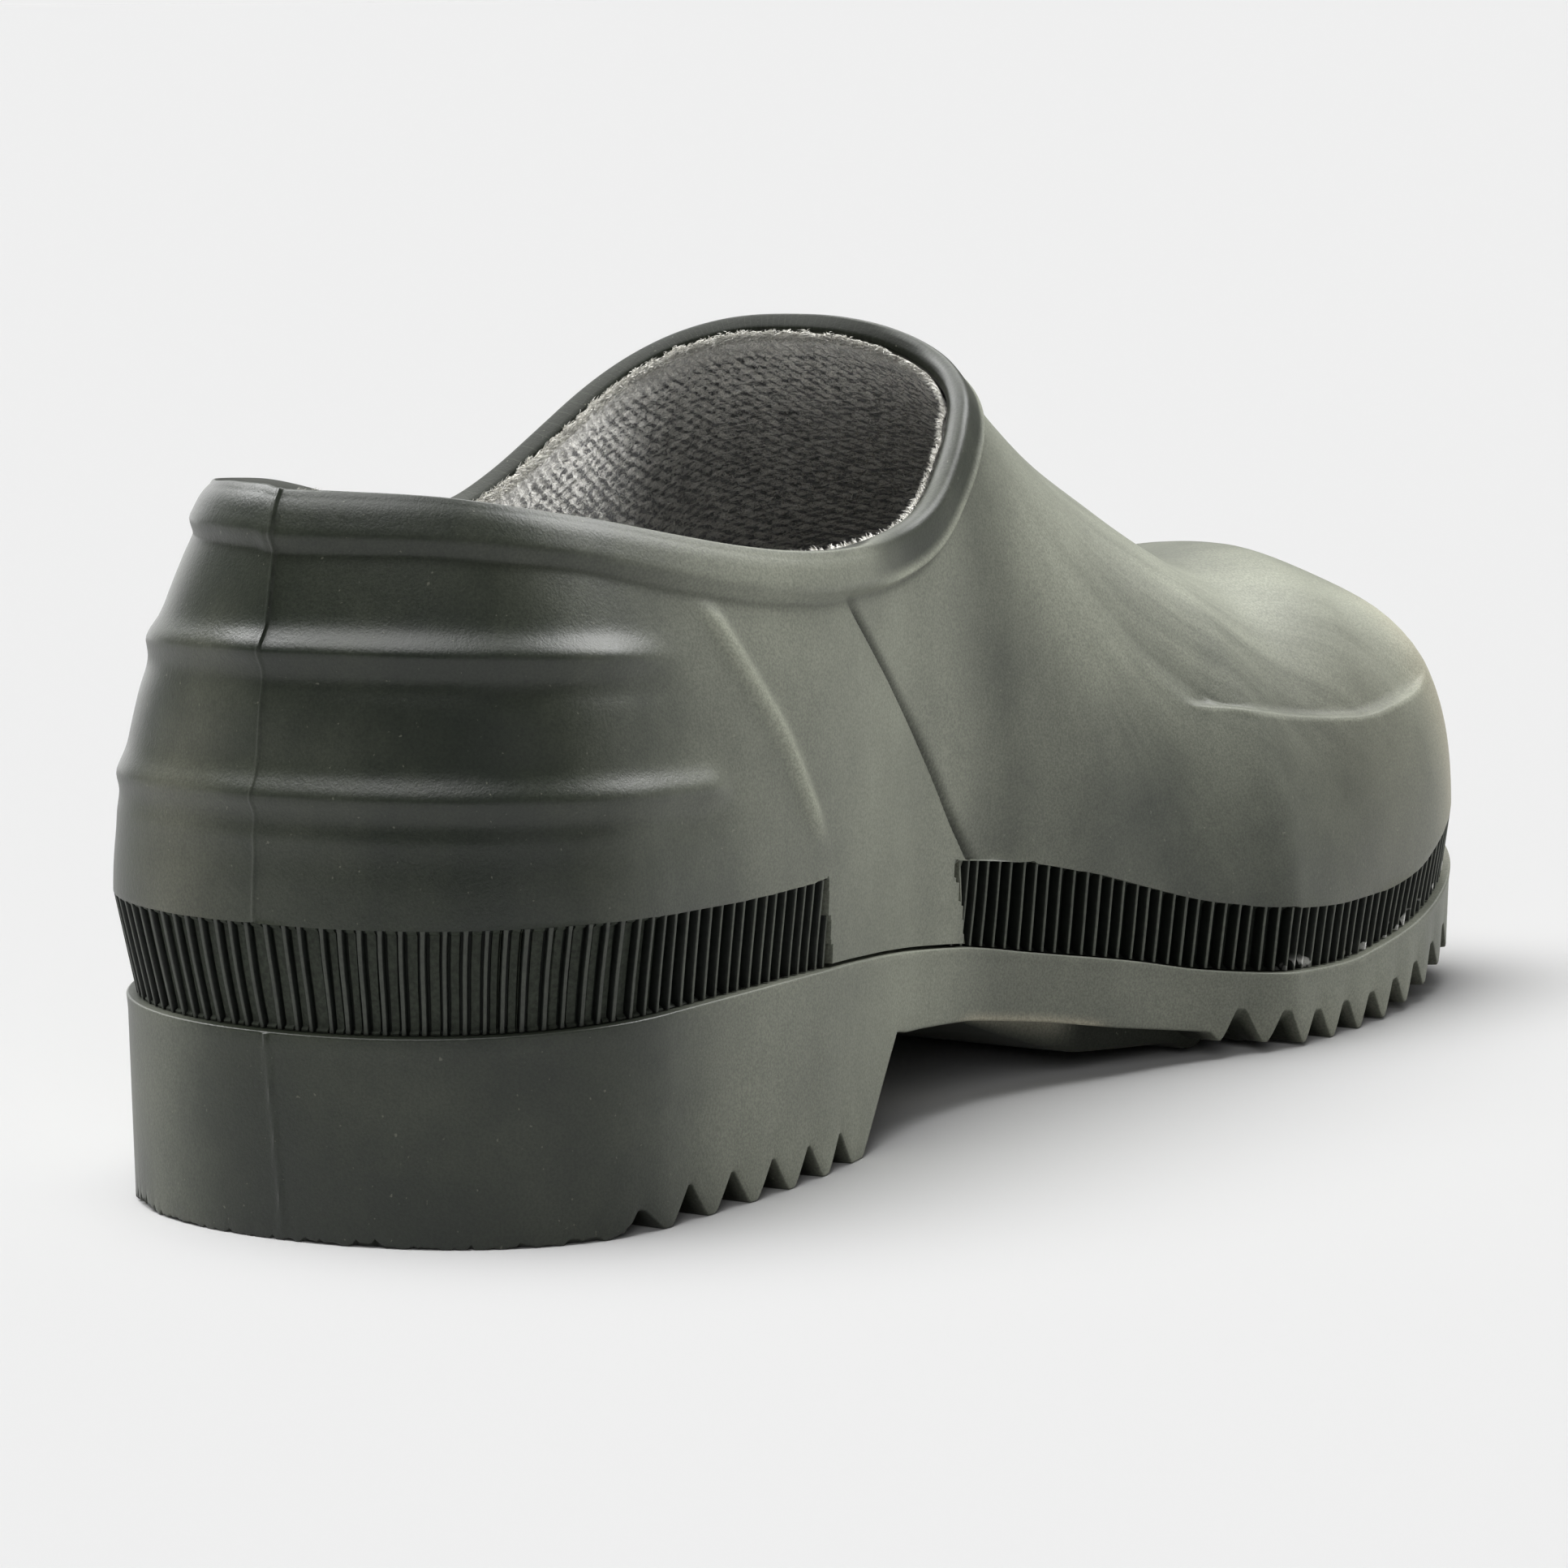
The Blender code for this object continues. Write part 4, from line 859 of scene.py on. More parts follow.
def makeBand(material):
    # fin profile repeated along the sole's outline and carried from the ledge up to the upper's wider outline
    cfg = bandSet
    line = soleLine
    rng = np.random.default_rng(cfg["seed"])
    share, rise = np.array(cfg["fin"]).T

    def finRun(s0, s1, count):
        # stops and heights of a run of fins, each moved a little and of its own thickness
        step = (s1 - s0) / count
        moved = rng.normal(0, cfg["shiftBy"], count)[:, None] * (rise != 0)
        thick = np.where(rise != 0, rng.uniform(*cfg["thick"], count)[:, None], 1)
        s = s0 + step * (np.arange(count)[:, None] + 0.5 + moved + (share - 0.5) * thick)
        return s.ravel(), np.tile(rise, count), np.zeros(count * len(share))

    runs = []
    for side in (-1, 1):
        pad0, pad1 = [float(outlineAlong(line, lastForm[k], side)) for k in ("padFrom", "padTo")]
        start = 0.0 if side < 0 else line["total"]
        pad = np.linspace(pad0, pad1, cfg["padColumns"] + 2)[2:-2]
        under = -side * cfg["underPad"]
        whole = zip(finRun(start, pad0 + under, cfg["heelFins"]), (pad, 0 * pad, 0 * pad + 1),
                    finRun(pad1 - under, line["toe"], cfg["foreFins"]))
        runs.append([np.concatenate(v) for v in whole])
    s, rise, isPad = [np.concatenate(v) for v in zip(*runs)]
    order = np.argsort(s, kind="stable")
    s, rise, isPad = s[order], rise[order], isPad[order] > 0
    plan = outlineAt(line, s)
    x = plan[:, 0]
    h = np.linspace(0, 1, cfg["levels"])
    h = h - cfg["levelCrowd"] * np.sin(2 * np.pi * h)
    z0, z1 = ledgeHeight(x) + cfg["gap"], featherHeight(x) - cfg["gap"]
    whole = (z1 - z0)[:, None]
    tall = whole * h
    onFin = np.clip(rise, 0, 1)[:, None]
    fillet = cfg["toeOut"] * (1 - ease(tall / cfg["toeTall"]))
    fillet = fillet + cfg["headOut"] * (1 - ease((whole - tall) / cfg["headTall"]))
    shallow, full = cfg["finDeep"]
    finDeep = shallow + (full - shallow) * ramp(x, *cfg["deepFrom"])[:, None]
    deep = finDeep * (1 - onFin) + cfg["gutterDeep"] * np.clip(-rise, 0, 1)[:, None]
    deep = deep - np.minimum(fillet, finDeep * cfg["filletMost"]) * (1 - onFin)
    deep = np.where(isPad[:, None], cfg["padIn"], np.maximum(deep, 0.0))
    lean = ripple(np.stack(np.broadcast_arrays(s[:, None], cfg["leanUp"] * h, 0.0), -1), *cfg["lean"])
    along = s[:, None] + lean * (rise != 0)[:, None] + hump(s, *cfg["upright"])[:, None] * h
    # how far the upper's outline lies outside the sole's: its stretch back and aside, along the normal
    way = plan - outlineAt(line, s, 1.0)
    over = lastForm["overBack"] * (1 - x / length) * -way[:, 0] + lastForm["overSide"] * np.abs(way[:, 1])
    inset = cfg["footIn"] + (cfg["headIn"] - np.clip(over, 0, None)[:, None] - cfg["footIn"]) * h + deep
    fins = lifted(outlineAt(line, along, inset), z0[:, None] + tall)
    back = outlineAt(line, s, cfg["backIn"])
    loop = np.concatenate([fins, np.c_[back, z1][:, None], np.c_[back, z0][:, None]], 1)
    points = loop.reshape(-1, 3)
    faces = facedOut(points, gridFaces(len(s), loop.shape[1], True, True)[0])[0]
    dull, fore = cfg["heelShine"], cfg["bedFore"]
    # bed tone is 0 where painted shade lies: in the gutters, on the fins' sides, under the pads and forward
    bedTone = ease(1 - np.abs(rise) * cfg["bedNarrow"]) * (fore + (1 - fore) * ramp(x, *cfg["bedFrom"]))
    bedTone = np.where(isPad, 0.0, np.maximum(bedTone, cfg["tipTone"] * (rise > cfg["tipFrom"])))
    tones = {"tip": onFin, "shine": onFin * (dull + (1 - dull) * ramp(x, *cfg["shineFrom"]))[:, None],
             "bed": bedTone[:, None],
             "crumb": ramp(tall, *cfg["crumbLow"]) * ramp(x, *cfg["crumbFrom"])[:, None]}
    layers = {key: np.zeros(loop.shape[:2]) for key in tones}
    for key, tone in tones.items():
        layers[key][:, :cfg["levels"]] = tone
    return makePiece("fin_band", points, faces, material, None, layers, cfg["smoothTo"])


finBand = makeBand(bandMaterial())
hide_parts("midsole")

# Outsole: wall with a crisp ledge, notched tread edge, slanted heel breast, arch and inner tread block
outsoleSet = {
    # station, lowest line of the tread
    "tread": [(0, 0.0), (91.5, 0.0), (107.5, 16.2), (112, 15.3), (125, 14.3), (135, 13.5), (152, 11.0),
              (168, 8.0), (188, 4.8), (189.5, 3.2), (197, 2.1), (205, 1.0), (213, 0.0), (232, 0.0),
              (238, 0.4), (246, 1.3), (255, 2.7), (264, 4.6), (278, 7.0), (292, 10.5)],
    # station, how much lower the inner tread block hangs than the wall's edge
    "block": [(108, 0.0), (138, 0.0), (150, 2.6), (158, 3.8), (165, 4.6), (178, 3.4), (188, 2.2), (195, 0.8),
              (205, 0.0)],
    # from station, to station, columns or teeth, notched
    "runs": [(0.0, 24.0, 90, False), (24.0, 88.0, 6, True), (88.0, 91.5, 5, False), (91.5, 107.5, 18, False),
             (107.5, 188.0, 60, False), (188.0, 189.5, 4, False), (189.5, 292.0, 12, True)],
    "toothColumns": 24, "archX": 120.0,
    # heel and fore notches: height, share of the pitch at the floor, share at the top, roundness
    "heelNotch": (5.3, 0.86, 0.06, 0.10), "foreNotch": (5.2, 0.92, 0.20, 0.10), "notchPower": 1.15,
    # the first heel notch is worn half away: up to which station, what is left
    "wornTo": 34.7, "wornLeft": 0.62,
    "scoop": 0.48, "scoopReach": 4.5, "blockIn": (6.6, 0.4), "fade": (248.0, 14.0), "fadeIn": (1.0, 6.0),
    "treadRows": [14.0, 10.0, 7.0, 6.6, 4.5, 3.0, 1.8], "ledgeRows": [2.5, 5.5],
    # nicks along the heel's lower edge: waves, their gains, one bite near the parting line
    "nickTall": 0.75, "nickTo": (34.0, -8.0), "nickWaves": [(1.0, 4.0, 14), (1.0, 1.5, 15)],
    "nickGains": (0.6, 0.5), "nickBite": (1.5, -33.0, 6.0),
    "taper": 0.5, "edgeRound": 0.35, "edgeTurns": [0, 30, 60, 90], "lipRound": 0.35,
    "lipTurns": [25, 50, 75, 90], "lipFlare": 0.15, "flareFrom": (-1.6, 1.5), "wallLevels": 14,
    "acrossLevels": 9, "smoothTo": 42, "seamLine": (0.34, 0.0, 0.30), "seamLean": 2.2,
}
# tone of the outsole: start and length of each change in mm (negative runs back), and the shares
outsoleTone = {
    # dust: a pale bloom of dust and painted light, paler forward and on the heel's left side
    "dustAndLight": (0.05, 0.54, 0.42), "dustFrom": (18, 46), "dustFore": (110, 40), "foreLess": 0.20,
    "heelBack": (22, -24), "left": (4, 22), "uneven": (0.04, 55.0, 12),
    "scuffLine": (0.3, 0.7), "scuffFrom": (128, 8), "scuffTo": (168, -8), "scuffClean": 0.8,
    # tan: tan scuffs low on the wall and on the scuff line, and at the toe also a painted warm rim light
    "tanAndRimLight": (0.06, 0.65, 0.20), "tanLow": (9, -8), "tanFrom": (95, 20), "toe": (268, 20),
    # grime: painted shade under the tread, on its inner faces and on the down-facing part of its lower edge
    "grimeAndShade": 0.9, "shadeInset": 3.0, "edgeShade": 0.35,
}


def notchShape(f, count, notch):
    # height of the notches along a run: 0 at a tooth's tip, all of it at the notch's top, corners rounded
    tall, base, top, blunt = notch
    off = np.abs((f * count) % 1.0 - 0.5) * 2
    v = np.clip((base - off) / (base - top), 0.0, 1.0)
    return tall * np.clip(v ** outsoleSet["notchPower"] + blunt * (ease(v) - v), 0, 1)


def makeOutsole(material):
    # rows of the closed outline, from under the tread out to its edge, up the wall and in over the ledge
    cfg, tone = outsoleSet, outsoleTone
    line = soleLine
    treadX, treadZ = np.array(cfg["tread"]).T
    blockX, blockZ = np.array(cfg["block"]).T
    sides = []
    for side in (-1, 1):
        stops, notch = [], []
        for x0, x1, count, notched in cfg["runs"]:
            s0, s1 = outlineAlong(line, x0, side), outlineAlong(line, x1, side)
            n = count * cfg["toothColumns"] if notched else count
            f = np.arange(n) / n
            stops.append(s0 + (s1 - s0) * f)
            kind = cfg["heelNotch"] if x0 < cfg["archX"] else cfg["foreNotch"]
            notch.append(notchShape(f, count, kind) if notched else np.zeros(n))
        sides.append((np.concatenate(stops), np.concatenate(notch)))
    (rightS, rightN), (leftS, leftN) = sides
    s = np.r_[rightS, line["toe"], leftS[:0:-1]]
    half = len(rightS)
    x = outlineAt(line, s)[:, 0]
    notchTall = np.r_[rightN, 0.0, leftN[:0:-1]] * np.where(x < cfg["wornTo"], cfg["wornLeft"], 1.0)
    fromSeam = fromHeel(line, s)
    waves = [ripple(np.c_[s, s * 0, s * 0], *wave) for wave in cfg["nickWaves"]]
    nick = sum(gain * np.clip(wave, 0, 2) for gain, wave in zip(cfg["nickGains"], waves))
    deep, place, wide = cfg["nickBite"]
    nick = nick + (deep + waves[1]) * bell(fromSeam - place, wide)
    nick = cfg["nickTall"] * nick * ramp(x, *cfg["nickTo"])
    rowsIn, rowsZ, grimeAndShade = [], [], []

    def addRow(inset, z, shadeShare=0.0):
        rowsIn.append(np.broadcast_to(inset, s.shape))
        rowsZ.append(z)
        grimeAndShade.append(np.broadcast_to(shadeShare, s.shape))

    # tread rows are painted in shade, more the further in under the sole
    for inset in cfg["treadRows"]:
        px = outlineAt(line, s, inset)[:, 0]
        through = 1 - ramp(px, *cfg["fade"]) * ramp(inset, *cfg["fadeIn"])
        scoop = 1 - cfg["scoop"] * ease(inset / cfg["scoopReach"]) * (x > cfg["archX"])
        deep = np.interp(px, blockX, blockZ) * ramp(inset, *cfg["blockIn"])
        z = np.interp(px, treadX, treadZ) + notchTall * through * scoop - deep
        addRow(inset, np.maximum(z, 0.0), ease(inset / tone["shadeInset"]) * tone["grimeAndShade"])
    taper, edge = cfg["taper"], cfg["edgeRound"]
    foot = np.interp(outlineAt(line, s, taper)[:, 0], treadX, treadZ) + notchTall + nick
    # the down-facing part of the rounded lower edge is painted in shade
    for a in np.radians(cfg["edgeTurns"]):
        addRow(taper + edge * (1 - np.sin(a)), foot + edge * (1 - np.cos(a)), tone["edgeShade"] * np.cos(a))
    brim = ledgeHeight(x) - cfg["lipRound"]
    for f in np.linspace(0, 1, cfg["wallLevels"] + 1)[1:]:
        seam = hump(fromSeam - cfg["seamLean"] * (1 - f), *cfg["seamLine"])
        z = foot + edge + (brim - foot - edge) * f
        addRow(taper * (1 - f) - cfg["lipFlare"] * ramp(z - brim, *cfg["flareFrom"]) - seam, z)
    for a in np.radians(cfg["lipTurns"]):
        addRow(cfg["lipRound"] * (1 - np.cos(a)) - cfg["lipFlare"], brim + cfg["lipRound"] * np.sin(a))
    for inset in cfg["ledgeRows"]:
        addRow(inset, ledgeHeight(outlineAt(line, s, inset)[:, 0]))
    flats = [outlineAt(line, s, inset) for inset in rowsIn]
    loop = np.stack([np.c_[p, z] for p, z in zip(flats, rowsZ)], 1)
    levels = loop.shape[1]
    faces = gridFaces(len(s), levels, True, False)[0]
    points = loop.reshape(-1, 3)

    def acrossFill(level, count, start, flip):
        # strips from each right column to the left column at the same station, with fans at heel and toe
        right = np.arange(1, half)
        left = len(s) - right
        a, b = loop[right, level], loop[left, level]
        f = np.linspace(0, 1, count + 2)[1:-1]
        inside = a[:, None] + (b - a)[:, None] * f[None, :, None]
        index = start + np.arange(inside.shape[0] * count).reshape(-1, count)
        index = np.c_[right * levels + level, index, left * levels + level]
        quads = np.stack([index[:-1, :-1], index[1:, :-1], index[1:, 1:], index[:-1, 1:]], -1).reshape(-1, 4)
        heel, toe = [np.full(count + 1, column * levels + level) for column in (0, half)]
        fans = np.r_[np.c_[heel, index[0, :-1], index[0, 1:]], np.c_[toe, index[-1, 1:], index[-1, :-1]]]
        return inside.reshape(-1, 3), (quads[:, ::-1], fans[:, ::-1]) if flip else (quads, fans)

    belowPts, (belowQuads, belowFans) = acrossFill(0, cfg["acrossLevels"], len(points), True)
    topPts, (topQuads, topFans) = acrossFill(levels - 1, 1, len(points) + len(belowPts), False)
    allPoints = np.r_[points, belowPts, topPts]
    px, py, pz = allPoints.T
    least, wallDust, heelDust = tone["dustAndLight"]
    dustAndLight = wallDust * ramp(px, *tone["dustFrom"]) * (1 - tone["foreLess"] * ramp(px, *tone["dustFore"]))
    dustAndLight = least + dustAndLight + heelDust * ramp(px, *tone["heelBack"]) * ramp(py, *tone["left"])
    above, wide = tone["scuffLine"]
    scuff = bell(pz - np.interp(px, treadX, treadZ) - above, wide)
    scuff = scuff * ramp(px, *tone["scuffFrom"]) * ramp(px, *tone["scuffTo"])
    lowTan, scuffTan, toeTan = tone["tanAndRimLight"]
    tanAndRimLight = lowTan * ramp(pz, *tone["tanLow"]) * ramp(px, *tone["tanFrom"]) + scuffTan * scuff
    # the underside between the sides is painted in shade
    shadeShare = np.r_[np.stack(grimeAndShade, 1).ravel(), np.full(len(belowPts), tone["grimeAndShade"]), np.zeros(len(topPts))]
    layers = {"dustAndLight": dustAndLight + ripple(allPoints, *tone["uneven"]), "tanAndRimLight": tanAndRimLight + toeTan * ramp(px, *tone["toe"]),
              "grimeAndShade": shadeShare * (1 - tone["scuffClean"] * scuff)}
    faceSets = facedOut(allPoints, np.r_[faces, belowQuads, topQuads], faces, belowQuads, belowFans,
                        topQuads, topFans)[1:]
    return makePiece("outsole_shell", allPoints, faceSets, material, None, layers, cfg["smoothTo"])


outsoleShell = makeOutsole(pvcMaterial("olive_pvc_outsole", False))
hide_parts("outsole")

# Knit lining: a cloth sheet against the inner wall, its fuzzy cut edge just under the collar's crown
liningSet = {
    "off": 0.40, "least": 0.12, "lip": 0.35, "endGap": 0.02, "rise": 1.1, "topReach": 4.0, "bottom": 1.6,
    "wale": 2.0, "course": 1.7, "slant": 0.7, "columnsPerWale": 4, "nearLevels": 100, "farLevels": 16,
    "nearStep": 0.45, "relief": 0.42, "reliefFrom": 0.8, "edgeRoll": (0.12, 0.45, 0.5),
    # unevenness: mm, length of the waves, seed
    "slack": (0.25, 22.0, 17), "slackFrom": 6.0, "lumps": (0.10, 4.0, 18), "ragged": (0.30, 2.6, 31),
    "raggedRound": 50.0,
    "edgePale": (1.4, 3.4), "paleTo": 24.0, "flat": (0.76, 0.16),
}
knitLook = {
    # gap: painted shade between the stitches; pale: paler yarn, also painted light near the opening
    "yarn": (0.56, 0.55, 0.505, 1), "pale": (0.90, 0.88, 0.82, 1), "gap": (0.030, 0.030, 0.029, 1),
    "edge": (0.93, 0.91, 0.85, 1),
    # noises: scale, detail, roughness, warp; and how some are stretched
    "fuzz": (1900.0, 4.0, 0.75), "marl": (420.0, 3.0, 0.65), "drift": (330.0, 2.0, 0.6),
    "dashes": (1.0, 4.0, 0.72, 0.5), "dashWay": (1.2, 2.2, 1.0), "driftWays": ((1, 1, 1), (1.2, 0.9, 1.3)),
    "driftBy": (0.7, 1.8),
    # gaps: course gaps from and to, how much the wale gaps count there, shares of dots and of lines
    "courseGap": (0.45, 1.0), "acrossDots": (0.5, 0.5), "dotShare": 0.34, "lineShare": (0.40, 1.0, 0.0, 0.36),
    "darkGains": (3.0, 3.2, 0.8), "nearLess": -0.24, "darkRange": (-0.02, 0.52),
    "lightFuzz": 1.2, "lightNear": 0.85, "lightMarl": -0.5, "lightBase": 0.5,
    "torn": 1.4, "tornRange": (0.2, 0.8), "fuzzTone": (0.36, 0.62, 0.55, 1.15),
    "rough": 0.95, "gloss": 0.1, "sheen": 0.8, "fuzzTall": 0.6, "bump": (0.9, 0.0009),
}


def knitMaterial(name):
    # UV counts stitches: wales across, courses along. Painted shade lies as dark dots where both gaps meet,
    # broken up by noise;
    # the yarn is marled and fuzzy, and painted paler, as lit, near the opening
    look = knitLook
    material, tree, shader = startMaterial(name)
    where = objectPlace(tree)
    split = addNode(tree, "SeparateXYZ", {0: skinPlace(tree)})
    wale, course = split.outputs[0], split.outputs[1]

    def gapWave(v):
        # 0 on a row and 1 in the gap between rows: half of (1 less the cosine)
        wave = calc(tree, "COSINE", calc(tree, "MULTIPLY", v, 2 * np.pi))
        return calc(tree, "MULTIPLY_ADD", wave, -0.5, 0.5)

    drift = [noiseOf(tree, stretched(tree, where, way), *look["drift"]) for way in look["driftWays"]]
    across = calc(tree, "MULTIPLY_ADD", drift[0], look["driftBy"][0], wale)
    across = calc(tree, "MULTIPLY_ADD", course, liningSet["slant"], across)
    acrossGap = gapWave(across)
    alongGap = gapWave(calc(tree, "MULTIPLY_ADD", drift[1], look["driftBy"][1], course))
    fuzz, marl = [noiseOf(tree, where, *look[k]) for k in ("fuzz", "marl")]
    near = layerOf(tree, "near")
    slanted = addNode(tree, "CombineXYZ", {0: across, 1: course}).outputs[0]
    dashes = noiseOf(tree, stretched(tree, slanted, look["dashWay"]), *look["dashes"])
    under = calc(tree, "MULTIPLY", ranged(tree, alongGap, *look["courseGap"]),
                 calc(tree, "MULTIPLY_ADD", acrossGap, *look["acrossDots"]))
    dots = calc(tree, "MULTIPLY_ADD", under, look["dotShare"], ranged(tree, acrossGap, *look["lineShare"]))
    for noise, gain in zip((dashes, fuzz, marl), look["darkGains"]):
        dots = calc(tree, "ADD", dots, centred(tree, noise, gain))
    # share of painted shade: fewer dark gaps near the opening, which is painted as lit
    paintedShade = ranged(tree, calc(tree, "MULTIPLY_ADD", near, look["nearLess"], dots), *look["darkRange"])
    light = calc(tree, "MULTIPLY_ADD", near, look["lightNear"], centred(tree, fuzz, look["lightFuzz"]))
    light = calc(tree, "MULTIPLY_ADD", marl, look["lightMarl"], calc(tree, "ADD", light, look["lightBase"]))
    colour = blended(tree, ranged(tree, light, 0.0, 1.0), look["yarn"], look["pale"])
    colour = blended(tree, paintedShade, colour, look["gap"])
    torn = calc(tree, "ADD", layerOf(tree, "edge"), centred(tree, dashes, look["torn"]))
    colour = blended(tree, ranged(tree, torn, *look["tornRange"]), colour, look["edge"])
    colour = blended(tree, 1.0, colour, ranged(tree, fuzz, *look["fuzzTone"]), "MULTIPLY")
    height = calc(tree, "MULTIPLY_ADD", fuzz, look["fuzzTall"], calc(tree, "SUBTRACT", 1.0, paintedShade))
    feed(tree, shader, {"Base Color": colour, "Roughness": look["rough"], "Specular IOR Level": look["gloss"],
                        "Sheen Weight": look["sheen"], "Normal": bumped(tree, height, *look["bump"])})
    return material


def collarStops(line, count, fine=2400, pathStops=260):
    # stops on the lower edge whose paths end evenly spaced along the collar, and the collar's length there
    s = np.linspace(0, line["total"], fine, endpoint=False)
    _, paths, _ = domePaths(outlineAt(line, s), 0.0, pathStops)
    end = paths[:, -1]
    run = runLength(np.r_[end, end[:1]])
    return np.interp(np.arange(count) / count * run[-1], run, np.r_[s, line["total"]]), run[-1]


def makeLining(material):
    # the upper's paths from the collar down, moved in past the wall, with slanted rows of stitches in relief
    cfg = liningSet
    wales = int(collarStops(upperLine, 8)[1] / cfg["wale"])
    count = wales * cfg["columnsPerWale"]
    stops, _ = collarStops(upperLine, count)
    bearing, paths, run = domePaths(outlineAt(upperLine, stops))
    total = run[:, -1]
    reach = total - cfg["lip"] - cfg["bottom"]
    step = np.minimum(cfg["nearStep"], reach / (cfg["nearLevels"] + cfg["farLevels"]))
    near = step[:, None] * np.arange(cfg["nearLevels"])
    far = near[:, -1:] + (reach[:, None] - near[:, -1:]) * np.linspace(0, 1, cfg["farLevels"] + 1)[1:]
    down = np.c_[near, far]
    atTop = ease(1 - down / cfg["topReach"])
    turn = np.radians(bearing)
    circle = np.c_[np.cos(turn), np.sin(turn), bearing * 0] * cfg["raggedRound"]
    ragged = ripple(circle, *cfg["ragged"])
    at = total[:, None] - cfg["lip"] - down + ragged[:, None] * atTop
    grid = pathAt(paths, run, np.minimum(at, total[:, None] - cfg["endGap"]))
    normal = gridNormals(grid)
    u = np.arange(count) / cfg["columnsPerWale"]
    v = down / cfg["course"]
    relief = sum(0.25 * (1 + np.cos(2 * np.pi * w)) for w in (u[:, None] + cfg["slant"] * v, v))
    lift = wall + cfg["off"] + cfg["relief"] * relief * ease(down / cfg["reliefFrom"])
    lift = lift + ripple(grid, *cfg["slack"]) * ease(down / cfg["slackFrom"])
    lift = lift + ripple(grid, *cfg["lumps"]) + hump(down, *cfg["edgeRoll"])
    # its levels run downward, so the normals look inward: past the wall's thickness and its own
    points = grid + normal * np.maximum(lift, wall + cfg["least"])[..., None]
    # the top is drawn up to the crown's inner edge
    points = points + unit(grid[:, :1] - grid[:, 2:3]) * (cfg["rise"] * atTop)[..., None]
    faces, cc, kk = gridFaces(count, points.shape[1], True, False)
    flat = points.reshape(-1, 3)
    a, b, c, d = [flat[faces[:, i]] for i in range(4)]
    area = sum(np.linalg.norm(np.cross(p - a, q - a), axis=1).sum() / 2 for p, q in ((b, c), (c, d)))
    uu = np.r_[u, u[-1] + 1 / cfg["columnsPerWale"]]
    vv = np.r_[v, v[:1]]
    uv = np.stack([uu[cc], vv[cc, kk]], -1)
    full, fade = cfg["edgePale"]
    # edge: the white cut edge; near: painted light near the opening, fading deeper in
    layers = {"edge": ease(full - down / fade), "near": ease(1 - down / cfg["paleTo"])}
    piece = makePiece("knit_lining", flat, faces, material, [uv], layers, None)
    return piece, points, normal, area * 1e-6


knit = knitMaterial("marled_knit")
knitLining, liningGrid, liningNormal, liningArea = makeLining(knit)
print("lining area", round(liningArea, 4))

# Loose fibres on the lining's cut edge and on its nap, joined in one mesh of bent strips
fibreSet = {
    "edgeCount": 15000, "napCount": 7000, "long": (0.5, 1.7), "napLong": 0.8, "thin": 0.06, "seed": 44,
    "edgeLevels": (0, 4), "napLevels": (3, 90), "lean": 0.6, "edgeRise": (0.2, 1.0), "napRise": 0.6,
    # how far each of a fibre's two parts leaves the cloth, how much the second one rises, where they meet
    "out": (0.7, 0.3), "tipRise": 0.4, "bendAt": 0.55, "rootIn": 0.1,
    "tone": (300.0, 2.0), "deep": (0.55, 0.54, 0.50, 1), "pale": (0.85, 0.84, 0.79, 1), "rough": 0.9,
}


def fibreMaterial():
    cfg = fibreSet
    material, tree, shader = startMaterial("pale_fibre")
    tone = noiseOf(tree, objectPlace(tree), *cfg["tone"])
    colour = blended(tree, tone, cfg["deep"], cfg["pale"])
    feed(tree, shader, {"Base Color": colour, "Roughness": cfg["rough"]})
    return material


def makeFibres(material):
    # each fibre is a three-point strip that leaves the cloth, bends toward a random side and thins out
    cfg = fibreSet
    rng = np.random.default_rng(cfg["seed"])
    edgeCount, napCount = cfg["edgeCount"], cfg["napCount"]
    n = edgeCount + napCount
    col = rng.integers(0, len(liningGrid), n)
    lev = np.r_[rng.integers(*cfg["edgeLevels"], edgeCount), rng.integers(*cfg["napLevels"], napCount)]
    root, out = liningGrid[col, lev], liningNormal[col, lev]
    above = np.maximum(lev - 1, 0)
    up = unit(liningGrid[col, above] - liningGrid[col, above + 1])
    side = np.cross(up, out)
    atEdge = np.arange(n) < edgeCount
    reach = rng.uniform(*cfg["long"], n) * np.where(atEdge, 1.0, cfg["napLong"])
    lean = rng.normal(0, cfg["lean"], (n, 2))
    rise = np.where(atEdge, rng.uniform(*cfg["edgeRise"], n), rng.normal(0, cfg["napRise"], n))
    out1, out2 = cfg["out"]
    way1 = unit(out * out1 + side * lean[:, :1] + up * rise[:, None])
    way2 = unit(out * out2 + side * (lean[:, :1] + lean[:, 1:]) + up * (rise * cfg["tipRise"])[:, None])
    p0 = root - out * cfg["rootIn"]
    p1 = p0 + way1 * (reach * cfg["bendAt"])[:, None]
    p2 = p1 + way2 * (reach * (1 - cfg["bendAt"]))[:, None]
    broad = cfg["thin"] * unit(np.cross(way1, rng.normal(size=(n, 3))))
    points = np.stack([p0 - broad, p0 + broad, p1 + broad, p1 - broad, p2], 1).reshape(-1, 3)
    base = np.arange(n)[:, None] * 5
    return makePiece("lining_fibres", points, [base + [0, 1, 2, 3], base + [3, 2, 4]], material)


liningFibres = makeFibres(fibreMaterial())

# Foot bed: a knit-covered pad, rounded at its edge, over the whole sole
bedSet = {
    "inset": 4.1, "low": 0.2, "tall": 3.0, "stations": 220, "around": 64, "smoothTo": 60,
    # squareness across and up, how the ends thin out, how far the top is dished
    "square": (0.45, 0.6), "endPower": 40, "endLeast": 0.02, "dish": 0.5,
}


